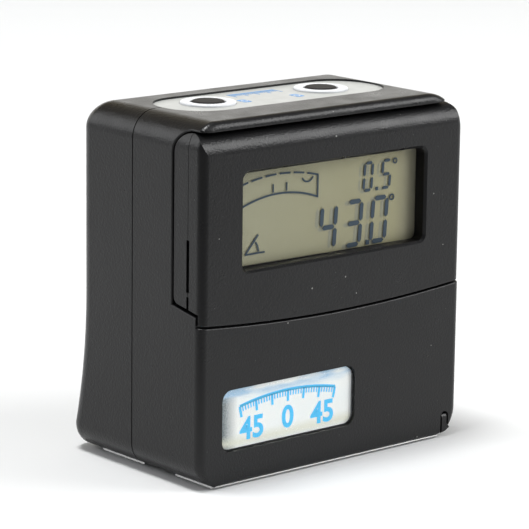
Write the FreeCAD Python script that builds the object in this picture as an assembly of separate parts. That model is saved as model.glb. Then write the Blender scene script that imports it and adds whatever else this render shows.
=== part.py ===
"""A pocket digital angle gauge: a level box with a display head that tilts up on a hinge.

X runs to the right along the front, Y runs to the back and Z runs up from the base.
The origin is the centre of the base plate's underside. All sizes are in millimetres.
A place is given as (x, depth, z), where depth is measured backwards from the chin's front face.
"""
import FreeCAD, Part
import math
import os

Vector = FreeCAD.Vector

# ---- Driving dimensions: the case ---------------------------------------------------------
WIDTH = 58.0
HEIGHT = 60.0
FOOT_DEPTH = 35.35         # front face to the furthest point of the flared foot
BACK_DEPTH = 32.0          # front face to the flat upper part of the back
HALF = WIDTH / 2
FRONT = -FOOT_DEPTH / 2    # Y of the chin's front face
PLATE_LIP = 0.22           # how far the base plate stands out below the case
WALL = 1.7
CORNER_TOP_LEFT = 4.5
CORNER_TOP_RIGHT = 7.0
CORNER_BOTTOM_LEFT = 4.1
CORNER_BOTTOM_RIGHT = 4.7
FRONT_ROUND = 1.4
CHIN_ROUND = 0.5           # along the front's bottom edge
BACK_ROUND_SIDE = 3.0
BACK_ROUND_TOP = 4.4
FOOT_ROUND = 2.6
FLARE_START = 28.0         # height where the back begins to flare out
FLARE_RADIUS = 97.0
SEAM_DEPTH = 17.6          # joint between the middle shell and the rear cover
SEAM_GAP = 0.22
LIP_WALL = 0.75            # thickness of the tongue inside the seam
LIP_REACH = 1.3
FIT = 0.05                 # running clearance on a radius
GAP = 0.2                  # plain clearance between neighbours
CLEAR = 0.3                # wider clearance round pieces that move
EDGE_ROUND = 0.25          # softening of the notch's and the skirt's edges
TINY = 0.05                # air between faces that only just meet

# ---- Driving dimensions: the display head and its hinge -------------------------------------
HEAD_DEPTH = 7.0
HEAD_INSET = 0.2           # head's side below the case's side
HEAD_CORNER_RIGHT = 6.2    # radius of the head's upper right corner
HEAD_CORNER_LEFT = 4.3
HEAD_RADIUS = HEAD_DEPTH / 2
PIVOT_DEPTH = HEAD_RADIUS
PIVOT_Z = 54.7
HEAD_SPLIT = HEAD_RADIUS   # joint between the bezel and the head's back cover
HEAD_BOTTOM_BACK = 30.3
HEAD_BOTTOM_FRONT = 29.2
SKIRT = 0.95               # thickness of the bezel's skirt
SKIRT_MID_Z = 25.95
SKIRT_SAG = 1.4            # how much higher the skirt's edge is at its ends
LEDGE_DROP = 0.55          # ledge below the head's bottom edge
BROW_SETBACK = 1.0
BROW_GAP = 0.16            # air between the brow and the head
BROW_ROUND = 1.35
WINDOW_HALF = 20.1
WINDOW_LOW = 35.2
WINDOW_HIGH = 51.4
WINDOW_CORNER = 1.2
BEVEL = 0.35
HEAD_WALL = 2.3            # thickness round the window
HEAD_SIDE_WALL = 1.5
LUG_X = 16.0               # centre of each hinge lug
LUG_WIDTH = 4.0
CENTRE_LUG_WIDTH = 8.0
LUG_RADIUS = 2.2
LUG_ARM = 2.4
PIN_RADIUS = 0.8
BOSS_WIDTH = 2.8
HEAD_SCREW_X = 25.2
HEAD_SCREW_Z = (33.6, 49.2)

# ---- Driving dimensions: display ------------------------------------------------------------
FILM_THICK = 0.15
LCD_HALF = 22.2
LCD_LOW = 33.4
LCD_HIGH = 52.2
LCD_THICK = 1.5
DIGIT_THICK = 0.03
HEAD_BOARD_THICK = 0.8

# ---- Driving dimensions: top panel and buttons ----------------------------------------------
PANEL_WIDTH = 45.8
PANEL_DEPTH = 15.4
PANEL_MIDDLE = 17.2
PANEL_RADIUS = 7.3
PANEL_SINK = 0.35
PANEL_THICK = 1.0
BUTTON_X = 12.45
BUTTON_SHIFT = -0.25       # both buttons sit a little to the left of the middle
BUTTON_MIDDLE = 18.2
BUTTON_RADIUS = 2.8
BUTTON_TOP = 60.15
BUTTON_TRAVEL = 0.4
RING_OUTER = 4.7
RING_INNER = 3.0
FLANGE_RADIUS = 3.7
FLANGE_THICK = 0.85
CEILING = 57.6             # inside of the case's top
SWITCH_SIDE = 6.0
SWITCH_HEIGHT = 2.8
PLUNGER_RADIUS = 1.7
BUTTON_BOARD_Z = 51.6
BUTTON_BOARD_THICK = 1.0

# ---- Driving dimensions: base ---------------------------------------------------------------
PLATE_LEFT = -25.9
PLATE_RIGHT = 25.1
PLATE_FRONT = 0.1
PLATE_BACK = 29.2
PLATE_BEVEL = 0.12
BLOCK_HALF = 24.7
BLOCK_FRONT = 2.4
BLOCK_BACK = 28.6
BLOCK_TOP = 4.4
GROOVE_FRONT = 9.8
GROOVE_BACK = 17.8
GROOVE_HEIGHT = 2.6
MAGNET_RADIUS = 3.0
MAGNET_THICK = 2.5
MAGNET_X = 17.5
MAGNET_DEPTHS = (5.9, 23.0)
BASE_SCREW_X = 7.0
BASE_SCREW_DEPTHS = (5.9, 23.0)
FLOOR_Z = 2.2              # top of the case's floor

# ---- Driving dimensions: battery, its bay and its door ----------------------------------------
CELL_LENGTH = 44.5         # an AAA cell
CELL_RADIUS = 5.2
CELL_RIGHT = 23.4
SPRING_PLATE = 4.6         # radius of the contact spring's plate
CELL_DEPTH = 7.7
CELL_Z = 13.2
DOOR_FRONT = 2.2
DOOR_LOW = 6.2
DOOR_HIGH = 20.4
DOOR_THICK = 1.5
DOOR_PIN_X = 27.95
DOOR_PIN_DEPTH = 14.0
KNUCKLE_RADIUS = 0.95
DOOR_PIN_RADIUS = 0.4
KNUCKLE_LOW = 11.2
KNUCKLE_HIGH = 15.3

# ---- Driving dimensions: the catch at the lower right corner ----------------------------------
CATCH_X = 26.0
CATCH_HALF = 0.55
CATCH_THICK = 1.7
CATCH_PIN_Z = 3.05
CATCH_PIN_RADIUS = 0.3
CATCH_SLIT = 0.35
CATCH_TOE = 27.25          # how far the toe reaches to the right
CATCH_TOE_Z = 1.95

# ---- Driving dimensions: label, boards and fasteners ------------------------------------------
LABEL = (-24.2, 4.8, 5.6, 16.0)
LABEL_RADIUS = 1.9
LABEL_SINK = 0.95
LABEL_GAP = 0.25
FOIL_THICK = 0.2
DOME_THICK = 0.7
MAIN_BOARD_FRONT = 19.6
MAIN_BOARD_THICK = 1.2
MAIN_BOARD = (-19.6, 19.6, 7.4, 49.4)
COVER_SCREW_X = 23.0
COVER_SCREW_Z = (8.6, 50.0)
COVER_BOSS_RADIUS = 2.8
COVER_HEAD_RADIUS = 2.0
COVER_HEAD_DEPTH = 28.0
POST_X = 16.5
POST_Z = (11.5, 46.0)
POST_RADIUS = 2.2


# ---- Small helpers ------------------------------------------------------------------------------
def at(x, depth, z):
    return Vector(x, FRONT + depth, z)


def box(x0, x1, d0, d1, z0, z1):
    return Part.makeBox(x1 - x0, d1 - d0, z1 - z0, at(x0, d0, z0))


def rod_x(x0, x1, depth, z, radius):
    return Part.makeCylinder(radius, x1 - x0, at(x0, depth, z), Vector(1, 0, 0))


def rod_y(d0, d1, x, z, radius):
    return Part.makeCylinder(radius, d1 - d0, at(x, d0, z), Vector(0, 1, 0))


def rod_z(z0, z1, x, depth, radius):
    return Part.makeCylinder(radius, z1 - z0, at(x, depth, z0), Vector(0, 0, 1))


def cone_y(d0, d1, x, z, r0, r1):
    return Part.makeCone(r0, r1, d1 - d0, at(x, d0, z), Vector(0, 1, 0))


def side_prism(points, x0, x1):
    """A (depth, z) outline carried across in X. A point of three is an arc's middle and its end."""
    edges = []
    here = points[0]
    for point in list(points[1:]) + [points[0]]:
        if isinstance(point[0], tuple):
            middle, end = point
            edges.append(Part.Arc(at(x0, *here), at(x0, *middle), at(x0, *end)).toShape())
            here = end
        elif point != here:
            edges.append(Part.LineSegment(at(x0, *here), at(x0, *point)).toShape())
            here = point
    return Part.Face(Part.Wire(edges)).extrude(Vector(x1 - x0, 0, 0))


def front_prism(points, d0, d1):
    """An (x, z) outline carried back from depth d0 to d1, with arcs as in side_prism."""
    edges = []
    here = points[0]
    for point in list(points[1:]) + [points[0]]:
        if isinstance(point[0], tuple):
            middle, end = point
            edges.append(Part.Arc(on(here, d0), on(middle, d0), on(end, d0)).toShape())
            here = end
        elif point != here:
            edges.append(Part.LineSegment(on(here, d0), on(point, d0)).toShape())
            here = point
    return Part.Face(Part.Wire(edges)).extrude(Vector(0, d1 - d0, 0))


def on(point, depth):
    return at(point[0], depth, point[1])


def flat_edges(shape, test):
    return [edge for edge in shape.Edges if test(edge.BoundBox)]


def along(box_, *axes):
    """True for an edge's box that has no length in the named axes."""
    lengths = {"X": box_.XLength, "Y": box_.YLength, "Z": box_.ZLength}
    return all(lengths[axis] < 1e-4 for axis in axes)


def rounded_front(x0, x1, z0, z1, radii, d0, d1):
    """A block that looks like a rounded rectangle from the front.
    radii are for the lower left, lower right, upper right and upper left corners."""
    block = box(x0, x1, d0, d1, z0, z1)
    middle_x = (x0 + x1) / 2
    middle_z = (z0 + z1) / 2
    corners = ((False, False), (True, False), (True, True), (False, True))
    for (right, top), radius in zip(corners, radii):
        edge = flat_edges(block, lambda b: along(b, "X", "Z")
                          and (b.XMin > middle_x) == right and (b.ZMin > middle_z) == top)
        block = block.makeFillet(radius, edge)
    return block


def rounded_top(x0, x1, d0, d1, radius, z0, z1):
    """A block that looks like a rounded rectangle from above."""
    block = box(x0, x1, d0, d1, z0, z1)
    return block.makeFillet(radius, flat_edges(block, lambda b: along(b, "X", "Y")))


def fillet_each(shape, radii):
    """Rounds edges with a start and an end radius each, given by edge number."""
    document = FreeCAD.newDocument("rounding")
    base = document.addObject("Part::Feature", "base")
    base.Shape = shape
    rounded = document.addObject("Part::Fillet", "rounded")
    rounded.Base = base
    rounded.Edges = radii
    document.recompute()
    result = rounded.Shape.copy()
    FreeCAD.closeDocument(document.Name)
    return result


def join(first, *others):
    return first.multiFuse(list(others)).removeSplitter() if others else first


def group(solids):
    return Part.makeCompound(solids)


# ---- The case's outside ---------------------------------------------------------------------------
def back_depth(z, inset=0.0):
    """Depth of the back's surface at a height: flat above, and an arc that flares out below."""
    if z >= FLARE_START:
        return BACK_DEPTH - inset
    radius = FLARE_RADIUS + inset
    return BACK_DEPTH - inset + radius - math.sqrt(radius ** 2 - (FLARE_START - z) ** 2)


def round_sides(block, bottom_z, inset=0.0):
    """Rounds the long corners that run from front to back."""
    top = flat_edges(block, lambda b: along(b, "X", "Z") and b.ZMin > CEILING - 1)
    left = [edge for edge in top if edge.BoundBox.XMax < 0]
    right = [edge for edge in top if edge.BoundBox.XMin > 0]
    block = block.makeFillet(CORNER_TOP_LEFT - inset, left)
    right = flat_edges(block, lambda b: along(b, "X", "Z") and b.ZMin > CEILING - 1 and b.XMin > HALF - 3)
    block = block.makeFillet(CORNER_TOP_RIGHT - inset, right)
    left = flat_edges(block, lambda b: along(b, "X", "Z") and b.ZMax < bottom_z + 0.1 and b.XMax < 0)
    block = block.makeFillet(CORNER_BOTTOM_LEFT - inset, left)
    right = flat_edges(block, lambda b: along(b, "X", "Z") and b.ZMax < bottom_z + 0.1 and b.XMin > HALF - 3)
    return block.makeFillet(CORNER_BOTTOM_RIGHT - inset, right)


def round_back(block):
    """Rounds the back's whole outline: a smaller radius at the foot, a larger one along the top."""
    radii = []
    for number, edge in enumerate(block.Edges, 1):
        b = edge.BoundBox
        if b.YMin < FRONT + BACK_DEPTH - 0.5:
            continue
        if along(b, "Y", "Z") and abs(b.ZMin - FLARE_START) < 0.01:
            continue
        side, top = BACK_ROUND_SIDE, BACK_ROUND_TOP
        if b.ZMax < PLATE_LIP + 0.5:
            radii.append((number, FOOT_ROUND, FOOT_ROUND))
        elif b.ZMax < PLATE_LIP + CORNER_BOTTOM_RIGHT + 0.5:
            ends = (side, FOOT_ROUND) if b.XMax < 0 else (FOOT_ROUND, side)
            radii.append((number,) + ends)
        elif b.ZMin > HEIGHT - 0.5:
            radii.append((number, top, top))
        elif b.ZMin > HEIGHT - CORNER_TOP_RIGHT - 0.5:
            ends = (top, side) if b.XMax < 0 else (side, top)
            radii.append((number,) + ends)
        else:
            radii.append((number, side, side))
    return fillet_each(block, radii)


def outer_block():
    """The whole case as one solid, before it is hollowed and split."""
    step_z = HEIGHT - 15
    middle = (PLATE_LIP + FLARE_START) / 2
    outline = [
        (0, PLATE_LIP),
        (back_depth(PLATE_LIP), PLATE_LIP),
        ((back_depth(middle), middle), (BACK_DEPTH, FLARE_START)),
        (BACK_DEPTH, HEIGHT),
        (BROW_SETBACK, HEIGHT),
        (BROW_SETBACK, step_z),
        (0, step_z),
    ]
    block = round_sides(side_prism(outline, -HALF, HALF), PLATE_LIP)
    block = round_back(block)
    upper = FRONT + BROW_SETBACK
    brow = flat_edges(block, lambda b: along(b, "Y") and abs(b.YMin - upper) < 1e-3 and b.ZMax > step_z + 1)
    block = block.makeFillet(BROW_ROUND, brow)
    return round_chin(block, step_z)


def round_chin(block, top_z):
    """Rounds the chin's front outline: softly up the sides, tightly along the bottom."""
    radii = []
    for number, edge in enumerate(block.Edges, 1):
        b = edge.BoundBox
        if b.YMax > FRONT + TINY or b.ZMin > top_z - 1:
            continue
        side, low = FRONT_ROUND, CHIN_ROUND
        if b.ZMax < PLATE_LIP + TINY:
            radii.append((number, low, low))
        elif b.ZMax < PLATE_LIP + CORNER_BOTTOM_RIGHT + 0.5:
            ends = (side, low) if b.XMax < 0 else (low, side)
            radii.append((number,) + ends)
        else:
            radii.append((number, side, side))
    return fillet_each(block, radii)


def cavity():
    """The room inside both shells."""
    behind_notch = PIVOT_DEPTH + HEAD_RADIUS + CLEAR + WALL
    under_ledge = ledge_z(WALL) - WALL
    middle = (FLOOR_Z + FLARE_START) / 2
    outline = [
        (WALL, FLOOR_Z),
        (back_depth(FLOOR_Z, WALL), FLOOR_Z),
        ((back_depth(middle, WALL), middle), (BACK_DEPTH - WALL, FLARE_START)),
        (BACK_DEPTH - WALL, CEILING),
        (behind_notch, CEILING),
        (behind_notch, ledge_z(behind_notch) - WALL),
        (WALL, under_ledge),
    ]
    room = side_prism(outline, WALL - HALF, HALF - WALL)
    return round_sides(room, FLOOR_Z, WALL)


def ledge_z(depth):
    """Height of the sloping ledge that the head closes down to."""
    slope = (HEAD_BOTTOM_BACK - HEAD_BOTTOM_FRONT) / (HEAD_DEPTH - SKIRT)
    return HEAD_BOTTOM_FRONT - LEDGE_DROP + slope * (depth - SKIRT)


def skirt_outline(drop, top):
    """The (x, z) outline above the seam that sags between chin and head."""
    reach = HALF + 2
    return [
        (-reach, SKIRT_MID_Z + SKIRT_SAG * (reach / HALF) ** 2 - drop),
        ((0, SKIRT_MID_Z - drop), (reach, SKIRT_MID_Z + SKIRT_SAG * (reach / HALF) ** 2 - drop)),
        (reach, top),
        (-reach, top),
    ]


def head_space():
    """The open notch that the head fills, from the ledge up to the brow's underside."""
    radius = HEAD_RADIUS + CLEAR
    back = PIVOT_DEPTH + radius
    above = HEAD_RADIUS + BROW_GAP
    top = PIVOT_Z + above
    turn = (radius + above) / 2 * math.sqrt(0.5)
    outline = [
        (-2, ledge_z(-2)),
        (back, ledge_z(back)),
        (back, PIVOT_Z),
        ((PIVOT_DEPTH + turn, PIVOT_Z + turn), (PIVOT_DEPTH, top)),
        (-2, top),
    ]
    main = side_prism(outline, -HALF - 2, HALF + 2)
    front = front_prism(skirt_outline(CLEAR, HEAD_BOTTOM_BACK), -2, SKIRT + CLEAR)
    return join(main, front)


# ---- The middle shell -------------------------------------------------------------------------------
def shell_ring(outer_inset, inner_inset, d0, d1):
    """A band that follows the case's outline between two insets."""
    def outline(inset):
        corners = (CORNER_BOTTOM_LEFT, CORNER_BOTTOM_RIGHT, CORNER_TOP_RIGHT, CORNER_TOP_LEFT)
        radii = [corner - inset for corner in corners]
        return rounded_front(inset - HALF, HALF - inset, PLATE_LIP + inset, HEIGHT - inset, radii, d0, d1)
    return outline(outer_inset).cut(outline(inner_inset))


def seam_tongue(clearance):
    """The tongue in the seam. It stops short of the top panel's pocket and of the open floor."""
    inner = WALL - TINY + clearance
    ring = shell_ring(WALL - LIP_WALL - clearance, inner, SEAM_DEPTH - LIP_REACH - clearance, SEAM_DEPTH + 1)
    pocket = PANEL_WIDTH / 2 + 1
    ring = ring.cut(box(-pocket, pocket, 0, FOOT_DEPTH, HEIGHT - 3, HEIGHT + 1))
    return ring.cut(box(PLATE_LEFT, PLATE_RIGHT, 0, FOOT_DEPTH, 0, FLOOR_Z + 0.2))


def lug(x0, x1):
    """A hinge lug: a round eye on an arm that grows out of the notch's back wall."""
    root = PIVOT_DEPTH + HEAD_RADIUS + CLEAR + WALL / 2
    eye = rod_x(x0, x1, PIVOT_DEPTH, PIVOT_Z, LUG_RADIUS)
    arm = box(x0, x1, PIVOT_DEPTH, root, PIVOT_Z - LUG_ARM / 2, PIVOT_Z + LUG_ARM / 2)
    return join(eye, arm)


def base_opening():
    """The hole in the floor that the base block stands in."""
    return box(-BLOCK_HALF - GAP / 2, BLOCK_HALF + GAP / 2, BLOCK_FRONT - GAP / 2, BLOCK_BACK + GAP / 2,
               -1, FLOOR_Z + 1)


def panel_pocket():
    floor = HEIGHT - PANEL_SINK - PANEL_THICK
    return rounded_top(-PANEL_WIDTH / 2, PANEL_WIDTH / 2, PANEL_MIDDLE - PANEL_DEPTH / 2,
                       PANEL_MIDDLE + PANEL_DEPTH / 2, PANEL_RADIUS, floor, HEIGHT + 1)


def button_x(side):
    return BUTTON_SHIFT + side * BUTTON_X


def button_bores(radius):
    return [rod_z(CEILING - 3, HEIGHT + 1, button_x(side), BUTTON_MIDDLE, radius) for side in (-1, 1)]


def cover_screw_places():
    return [(side * COVER_SCREW_X, z) for side in (-1, 1) for z in COVER_SCREW_Z]


def door_opening():
    """The battery opening in the right wall, with room behind the hinge's knuckles."""
    rear = DOOR_PIN_DEPTH + KNUCKLE_RADIUS + CLEAR
    return box(HALF - WALL - 1, HALF + 1, DOOR_FRONT - GAP, rear, DOOR_LOW - GAP, DOOR_HIGH + GAP)


def housing_knuckle():
    """The case's own knuckle in the middle of the door's hinge."""
    low = KNUCKLE_LOW + GAP
    high = KNUCKLE_HIGH - GAP
    eye = rod_z(low, high, DOOR_PIN_X, DOOR_PIN_DEPTH, KNUCKLE_RADIUS)
    root = box(DOOR_PIN_X - KNUCKLE_RADIUS, DOOR_PIN_X + KNUCKLE_RADIUS, DOOR_PIN_DEPTH,
               DOOR_PIN_DEPTH + 2 * KNUCKLE_RADIUS, low, high)
    return join(eye, root)


def catch_outline(grow):
    """The catch seen from the front: a round-topped tongue with a toe that fills the case's corner."""
    left = CATCH_X - CATCH_HALF - grow
    right = CATCH_X + CATCH_HALF + grow
    shoulder = CATCH_PIN_Z + CATCH_THICK / 2 - CATCH_HALF
    toe = CATCH_TOE + grow
    corner_x = HALF - CORNER_BOTTOM_RIGHT
    corner_z = PLATE_LIP + CORNER_BOTTOM_RIGHT

    def corner(x):
        return corner_z - math.sqrt(CORNER_BOTTOM_RIGHT ** 2 - (x - corner_x) ** 2) - grow

    middle = (left + toe) / 2
    return [
        (left, corner(left + grow)),
        ((middle, corner(middle)), (toe, corner(CATCH_TOE))),
        (right, CATCH_TOE_Z + grow),
        (right, shoulder),
        ((CATCH_X, shoulder + CATCH_HALF + grow), (left, shoulder)),
    ]


def middle_shell(block, room):
    """The front and middle of the case: chin, notch, brow and hinge lugs."""
    shell = block.cut(room).common(box(-HALF - 1, HALF + 1, -1, SEAM_DEPTH - SEAM_GAP / 2, 0, HEIGHT + 1))
    shell = soften_notch(shell.cut(head_space()))
    shell = shell.cut(base_opening()).cut(panel_pocket()).cut(door_opening())
    shell = shell.multiFuse([
        lug(LUG_X - LUG_WIDTH / 2, LUG_X + LUG_WIDTH / 2),
        lug(-LUG_X - LUG_WIDTH / 2, -LUG_X + LUG_WIDTH / 2),
        lug(-CENTRE_LUG_WIDTH / 2, CENTRE_LUG_WIDTH / 2),
        housing_knuckle(),
    ])
    bosses = []
    for x, z in cover_screw_places():
        start = SEAM_DEPTH - (9.2 if z > HEIGHT / 2 else 3.6)
        bosses.append(rod_y(start, SEAM_DEPTH - SEAM_GAP / 2, x, z, COVER_BOSS_RADIUS))
        bosses.append(boss_web(x, z, SEAM_DEPTH - 1.9, SEAM_DEPTH - SEAM_GAP / 2))
    bosses.append(board_shelf(PIVOT_DEPTH + HEAD_RADIUS + WALL, 11.6))
    shell = shell.multiFuse(bosses).common(block).cut(seam_tongue(TINY))
    return cut_middle_holes(shell)


def soften_notch(shell):
    """Rounds the notch's edges in the case's sides, and the chin's edge along the seam."""
    back = FRONT + PIVOT_DEPTH + HEAD_RADIUS + CLEAR + TINY
    low = ledge_z(SKIRT) - TINY
    sides = flat_edges(shell, lambda b: along(b, "X") and abs(b.XMin) > HALF - 1e-3 and low < b.ZMin
                       and b.ZMax < PIVOT_Z + 1 and b.YMax < back)
    shell = shell.makeFillet(EDGE_ROUND, sides)
    seam = flat_edges(shell, lambda b: along(b, "Y") and b.YMax < FRONT + 1e-3 and b.ZMin > SKIRT_MID_Z - 1
                      and b.XLength > WIDTH / 2)
    return shell.makeFillet(EDGE_ROUND, seam)


def cut_middle_holes(shell):
    shell = shell.cut(group(button_bores(RING_INNER)))
    far = LUG_X + LUG_WIDTH
    for side in (-1, 1):
        x0, x1 = sorted((side * (LUG_X - LUG_WIDTH), side * far))
        shell = shell.cut(rod_x(x0, x1, PIVOT_DEPTH, PIVOT_Z, PIN_RADIUS + FIT))
    shell = shell.cut(wire_channel())
    for x, z in cover_screw_places():
        shell = shell.cut(rod_y(SEAM_DEPTH - 3.0, SEAM_DEPTH + 1, x, z, 0.9))
    shell = shell.cut(rod_z(DOOR_LOW, DOOR_HIGH, DOOR_PIN_X, DOOR_PIN_DEPTH, DOOR_PIN_RADIUS))
    shell = shell.cut(front_prism(catch_outline(CATCH_SLIT), -1, CATCH_THICK + CATCH_SLIT))
    pin = rod_x(CATCH_X - 1.6, CATCH_X + 1.6, CATCH_THICK / 2, CATCH_PIN_Z, CATCH_PIN_RADIUS)
    shell = shell.cut(pin)
    x0, x1, z0, z1 = LABEL
    return shell.cut(rounded_front(x0, x1, z0, z1, [LABEL_RADIUS] * 4, -1, LABEL_SINK))


# ---- The rear cover ---------------------------------------------------------------------------------
def boss_web(x, z, d0, d1):
    """A rib that ties a screw boss to the side wall beside it."""
    x0, x1 = sorted((x, math.copysign(HALF - WALL / 2, x)))
    return box(x0, x1, d0, d1, z - 0.6, z + 0.6)


def board_shelf(d0, d1):
    """A ledge that the button board rests on."""
    return box(-15.0, 15.0, d0, d1, BUTTON_BOARD_Z - 1.2, BUTTON_BOARD_Z)


def rear_cover(block, room):
    start = SEAM_DEPTH + SEAM_GAP / 2
    shell = block.cut(room).common(box(-HALF - 1, HALF + 1, start, FOOT_DEPTH + 1, 0, HEIGHT + 1))
    shell = shell.cut(panel_pocket()).cut(base_opening())
    tubes = []
    for x, z in cover_screw_places():
        tubes.append(rod_y(start, back_depth(z) - 1, x, z, COVER_BOSS_RADIUS))
        tubes.append(boss_web(x, z, SEAM_DEPTH + 1.5, BACK_DEPTH - 1))
    for x, z in post_places():
        tubes.append(rod_y(MAIN_BOARD_FRONT + MAIN_BOARD_THICK, back_depth(z) - WALL / 2, x, z, POST_RADIUS))
    tubes.append(board_shelf(24.8, BACK_DEPTH - WALL / 2))
    shell = shell.multiFuse(tubes + [seam_tongue(0).common(box(-HALF, HALF, 0, FOOT_DEPTH, 0, HEIGHT))])
    shell = shell.common(block)
    shell = shell.cut(group(button_bores(RING_INNER)))
    for x, z in cover_screw_places():
        shell = shell.cut(rod_y(SEAM_DEPTH - 3, COVER_HEAD_DEPTH, x, z, 1.15))
        shell = shell.cut(rod_y(COVER_HEAD_DEPTH - 2, FOOT_DEPTH + 1, x, z, COVER_HEAD_RADIUS + GAP))
    for x, z in post_places():
        shell = shell.cut(rod_y(MAIN_BOARD_FRONT, BACK_DEPTH - 4, x, z, 0.8))
    return shell


def post_places():
    return [(side * POST_X, z) for side in (-1, 1) for z in POST_Z]


def cover_screws():
    """Four screws that go in from the back and pull the rear cover on to the middle shell."""
    screws = []
    for x, z in cover_screw_places():
        head = rod_y(COVER_HEAD_DEPTH - 2, COVER_HEAD_DEPTH - 0.6, x, z, COVER_HEAD_RADIUS)
        shank = rod_y(SEAM_DEPTH - 2.9, COVER_HEAD_DEPTH - 1.9, x, z, 0.9)
        screw = join(head, shank)
        screws.append(screw.cut(cross_slot(x, COVER_HEAD_DEPTH - 0.6, z, 1.2, 0.7, 1)))
    return group(screws)


def cross_slot(x, depth, z, half, deep, direction):
    """A cross recess in a screw head that faces along Y: direction 1 is backwards."""
    width = half * 0.17
    d0, d1 = sorted((depth - direction * deep, depth + direction))
    return join(box(x - half, x + half, d0, d1, z - width, z + width),
                box(x - width, x + width, d0, d1, z - half, z + half))


# ---- The display head ---------------------------------------------------------------------------------
def head_block():
    """The head's outside: the case's outline, a little smaller, with a half-round top."""
    side = HALF - HEAD_INSET
    radii = [2.0, 2.0, HEAD_CORNER_RIGHT, HEAD_CORNER_LEFT]
    face = rounded_front(-side, side, SKIRT_MID_Z - 6, HEIGHT - HEAD_INSET, radii, 0, HEAD_DEPTH)
    face = face.makeFillet(FRONT_ROUND, flat_edges(face, lambda b: b.YMax < FRONT + 1e-3))
    turn = HEAD_RADIUS * math.sqrt(0.5)
    outline = [
        (-0.5, SKIRT_MID_Z - 4),
        (SKIRT, SKIRT_MID_Z - 4),
        (SKIRT, HEAD_BOTTOM_FRONT),
        (HEAD_DEPTH - 1, HEAD_BOTTOM_BACK - 0.18),
        ((HEAD_DEPTH - 0.28, HEAD_BOTTOM_BACK + 0.22), (HEAD_DEPTH, HEAD_BOTTOM_BACK + 1)),
        (HEAD_DEPTH, PIVOT_Z),
        ((PIVOT_DEPTH + turn, PIVOT_Z + turn), (PIVOT_DEPTH, PIVOT_Z + HEAD_RADIUS)),
        ((PIVOT_DEPTH - turn, PIVOT_Z + turn), (0, PIVOT_Z)),
        (-0.5, PIVOT_Z),
    ]
    block = face.common(side_prism(outline, -HALF, HALF))
    block = block.common(front_prism(skirt_outline(0, HEIGHT), -1, HEAD_DEPTH + 1))
    skirt = flat_edges(block, lambda b: along(b, "Y") and b.YMax < FRONT + 1e-3 and b.XLength > WIDTH / 2
                       and b.ZMax < HEAD_BOTTOM_FRONT)
    return block.makeFillet(EDGE_ROUND, skirt)


def head_room():
    """The hollow inside the head, left open round the lugs and filled where the pins are held."""
    side = HALF - HEAD_INSET - HEAD_SIDE_WALL
    back = HEAD_DEPTH - 1.2
    low = HEAD_BOTTOM_BACK + 0.9
    main = box(-side, side, HEAD_WALL, back, low, PIVOT_Z)
    top = rod_x(4.5 - side, side - 6, PIVOT_DEPTH, PIVOT_Z, HEAD_RADIUS - 1.2)
    top = top.common(box(-side, side, HEAD_WALL, back, PIVOT_Z - 1, HEIGHT))
    room = join(main, top)
    return room.cut(group(pin_bosses()))


def pin_bosses():
    """Four blocks in the head that hold the ends of the two hinge pins."""
    blocks = []
    for side in (-1, 1):
        for sign in (-1, 1):
            near = LUG_X + sign * (LUG_WIDTH / 2 + CLEAR)
            x0, x1 = sorted((side * near, side * (near + sign * BOSS_WIDTH)))
            blocks.append(box(x0, x1, 0, HEAD_DEPTH, LCD_HIGH + GAP, HEIGHT))
    return blocks


def lug_slots():
    """Room for each lug as the head turns from hanging down to standing out in front."""
    clear = CLEAR
    cuts = []
    spans = [(-LUG_X - LUG_WIDTH / 2, -LUG_X + LUG_WIDTH / 2),
             (-CENTRE_LUG_WIDTH / 2, CENTRE_LUG_WIDTH / 2),
             (LUG_X - LUG_WIDTH / 2, LUG_X + LUG_WIDTH / 2)]
    front = PIVOT_DEPTH - LUG_ARM / 2 - clear
    for x0, x1 in spans:
        eye = rod_x(x0 - clear, x1 + clear, PIVOT_DEPTH, PIVOT_Z, LUG_RADIUS + clear)
        sweep = box(x0 - clear, x1 + clear, front, HEAD_DEPTH + 1, PIVOT_Z - LUG_ARM / 2 - clear, HEIGHT)
        cuts.append(join(eye, sweep))
    return cuts


def window_cut():
    """The display opening, with a narrow bevel round its front edge."""
    radii = [WINDOW_CORNER] * 4
    opening = rounded_front(-WINDOW_HALF, WINDOW_HALF, WINDOW_LOW, WINDOW_HIGH, radii, -1, HEAD_WALL + 1)
    bevel = Part.makeLoft([window_wire(BEVEL, 0), window_wire(0, BEVEL + TINY)], True, True)
    return join(opening, bevel)


def window_wire(grow, depth):
    x, low, high = WINDOW_HALF + grow, WINDOW_LOW - grow, WINDOW_HIGH + grow
    r = WINDOW_CORNER + grow
    k = r * (1 - math.sqrt(0.5))
    edges = []
    corners = [((x - r, low), (x - k, low + k), (x, low + r)), ((x, high - r), (x - k, high - k), (x - r, high)),
               ((r - x, high), (k - x, high - k), (-x, high - r)), ((-x, low + r), (k - x, low + k), (r - x, low))]
    for index, (start, middle, end) in enumerate(corners):
        edges.append(Part.Arc(on(start, depth), on(middle, depth), on(end, depth)).toShape())
        following = corners[(index + 1) % 4][0]
        edges.append(Part.LineSegment(on(end, depth), on(following, depth)).toShape())
    return Part.Wire(edges)


def pry_slot():
    """Two slots in the head's left side where its halves are prised apart."""
    slots = []
    for half, low, high in ((0.35, 32.4, 41.0), (0.28, 29.0, 31.7)):
        slots.append(box(-HALF, 0.8 - HALF + HEAD_INSET, HEAD_SPLIT - half, HEAD_SPLIT + half, low, high))
    return group(slots)


def head_screw_places():
    return [(side * HEAD_SCREW_X, z) for side in (-1, 1) for z in HEAD_SCREW_Z]


def pin_bores(radius):
    reach = LUG_WIDTH / 2 + CLEAR + BOSS_WIDTH - 0.4
    return [rod_x(side * LUG_X - reach, side * LUG_X + reach, PIVOT_DEPTH, PIVOT_Z, radius) for side in (-1, 1)]


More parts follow.
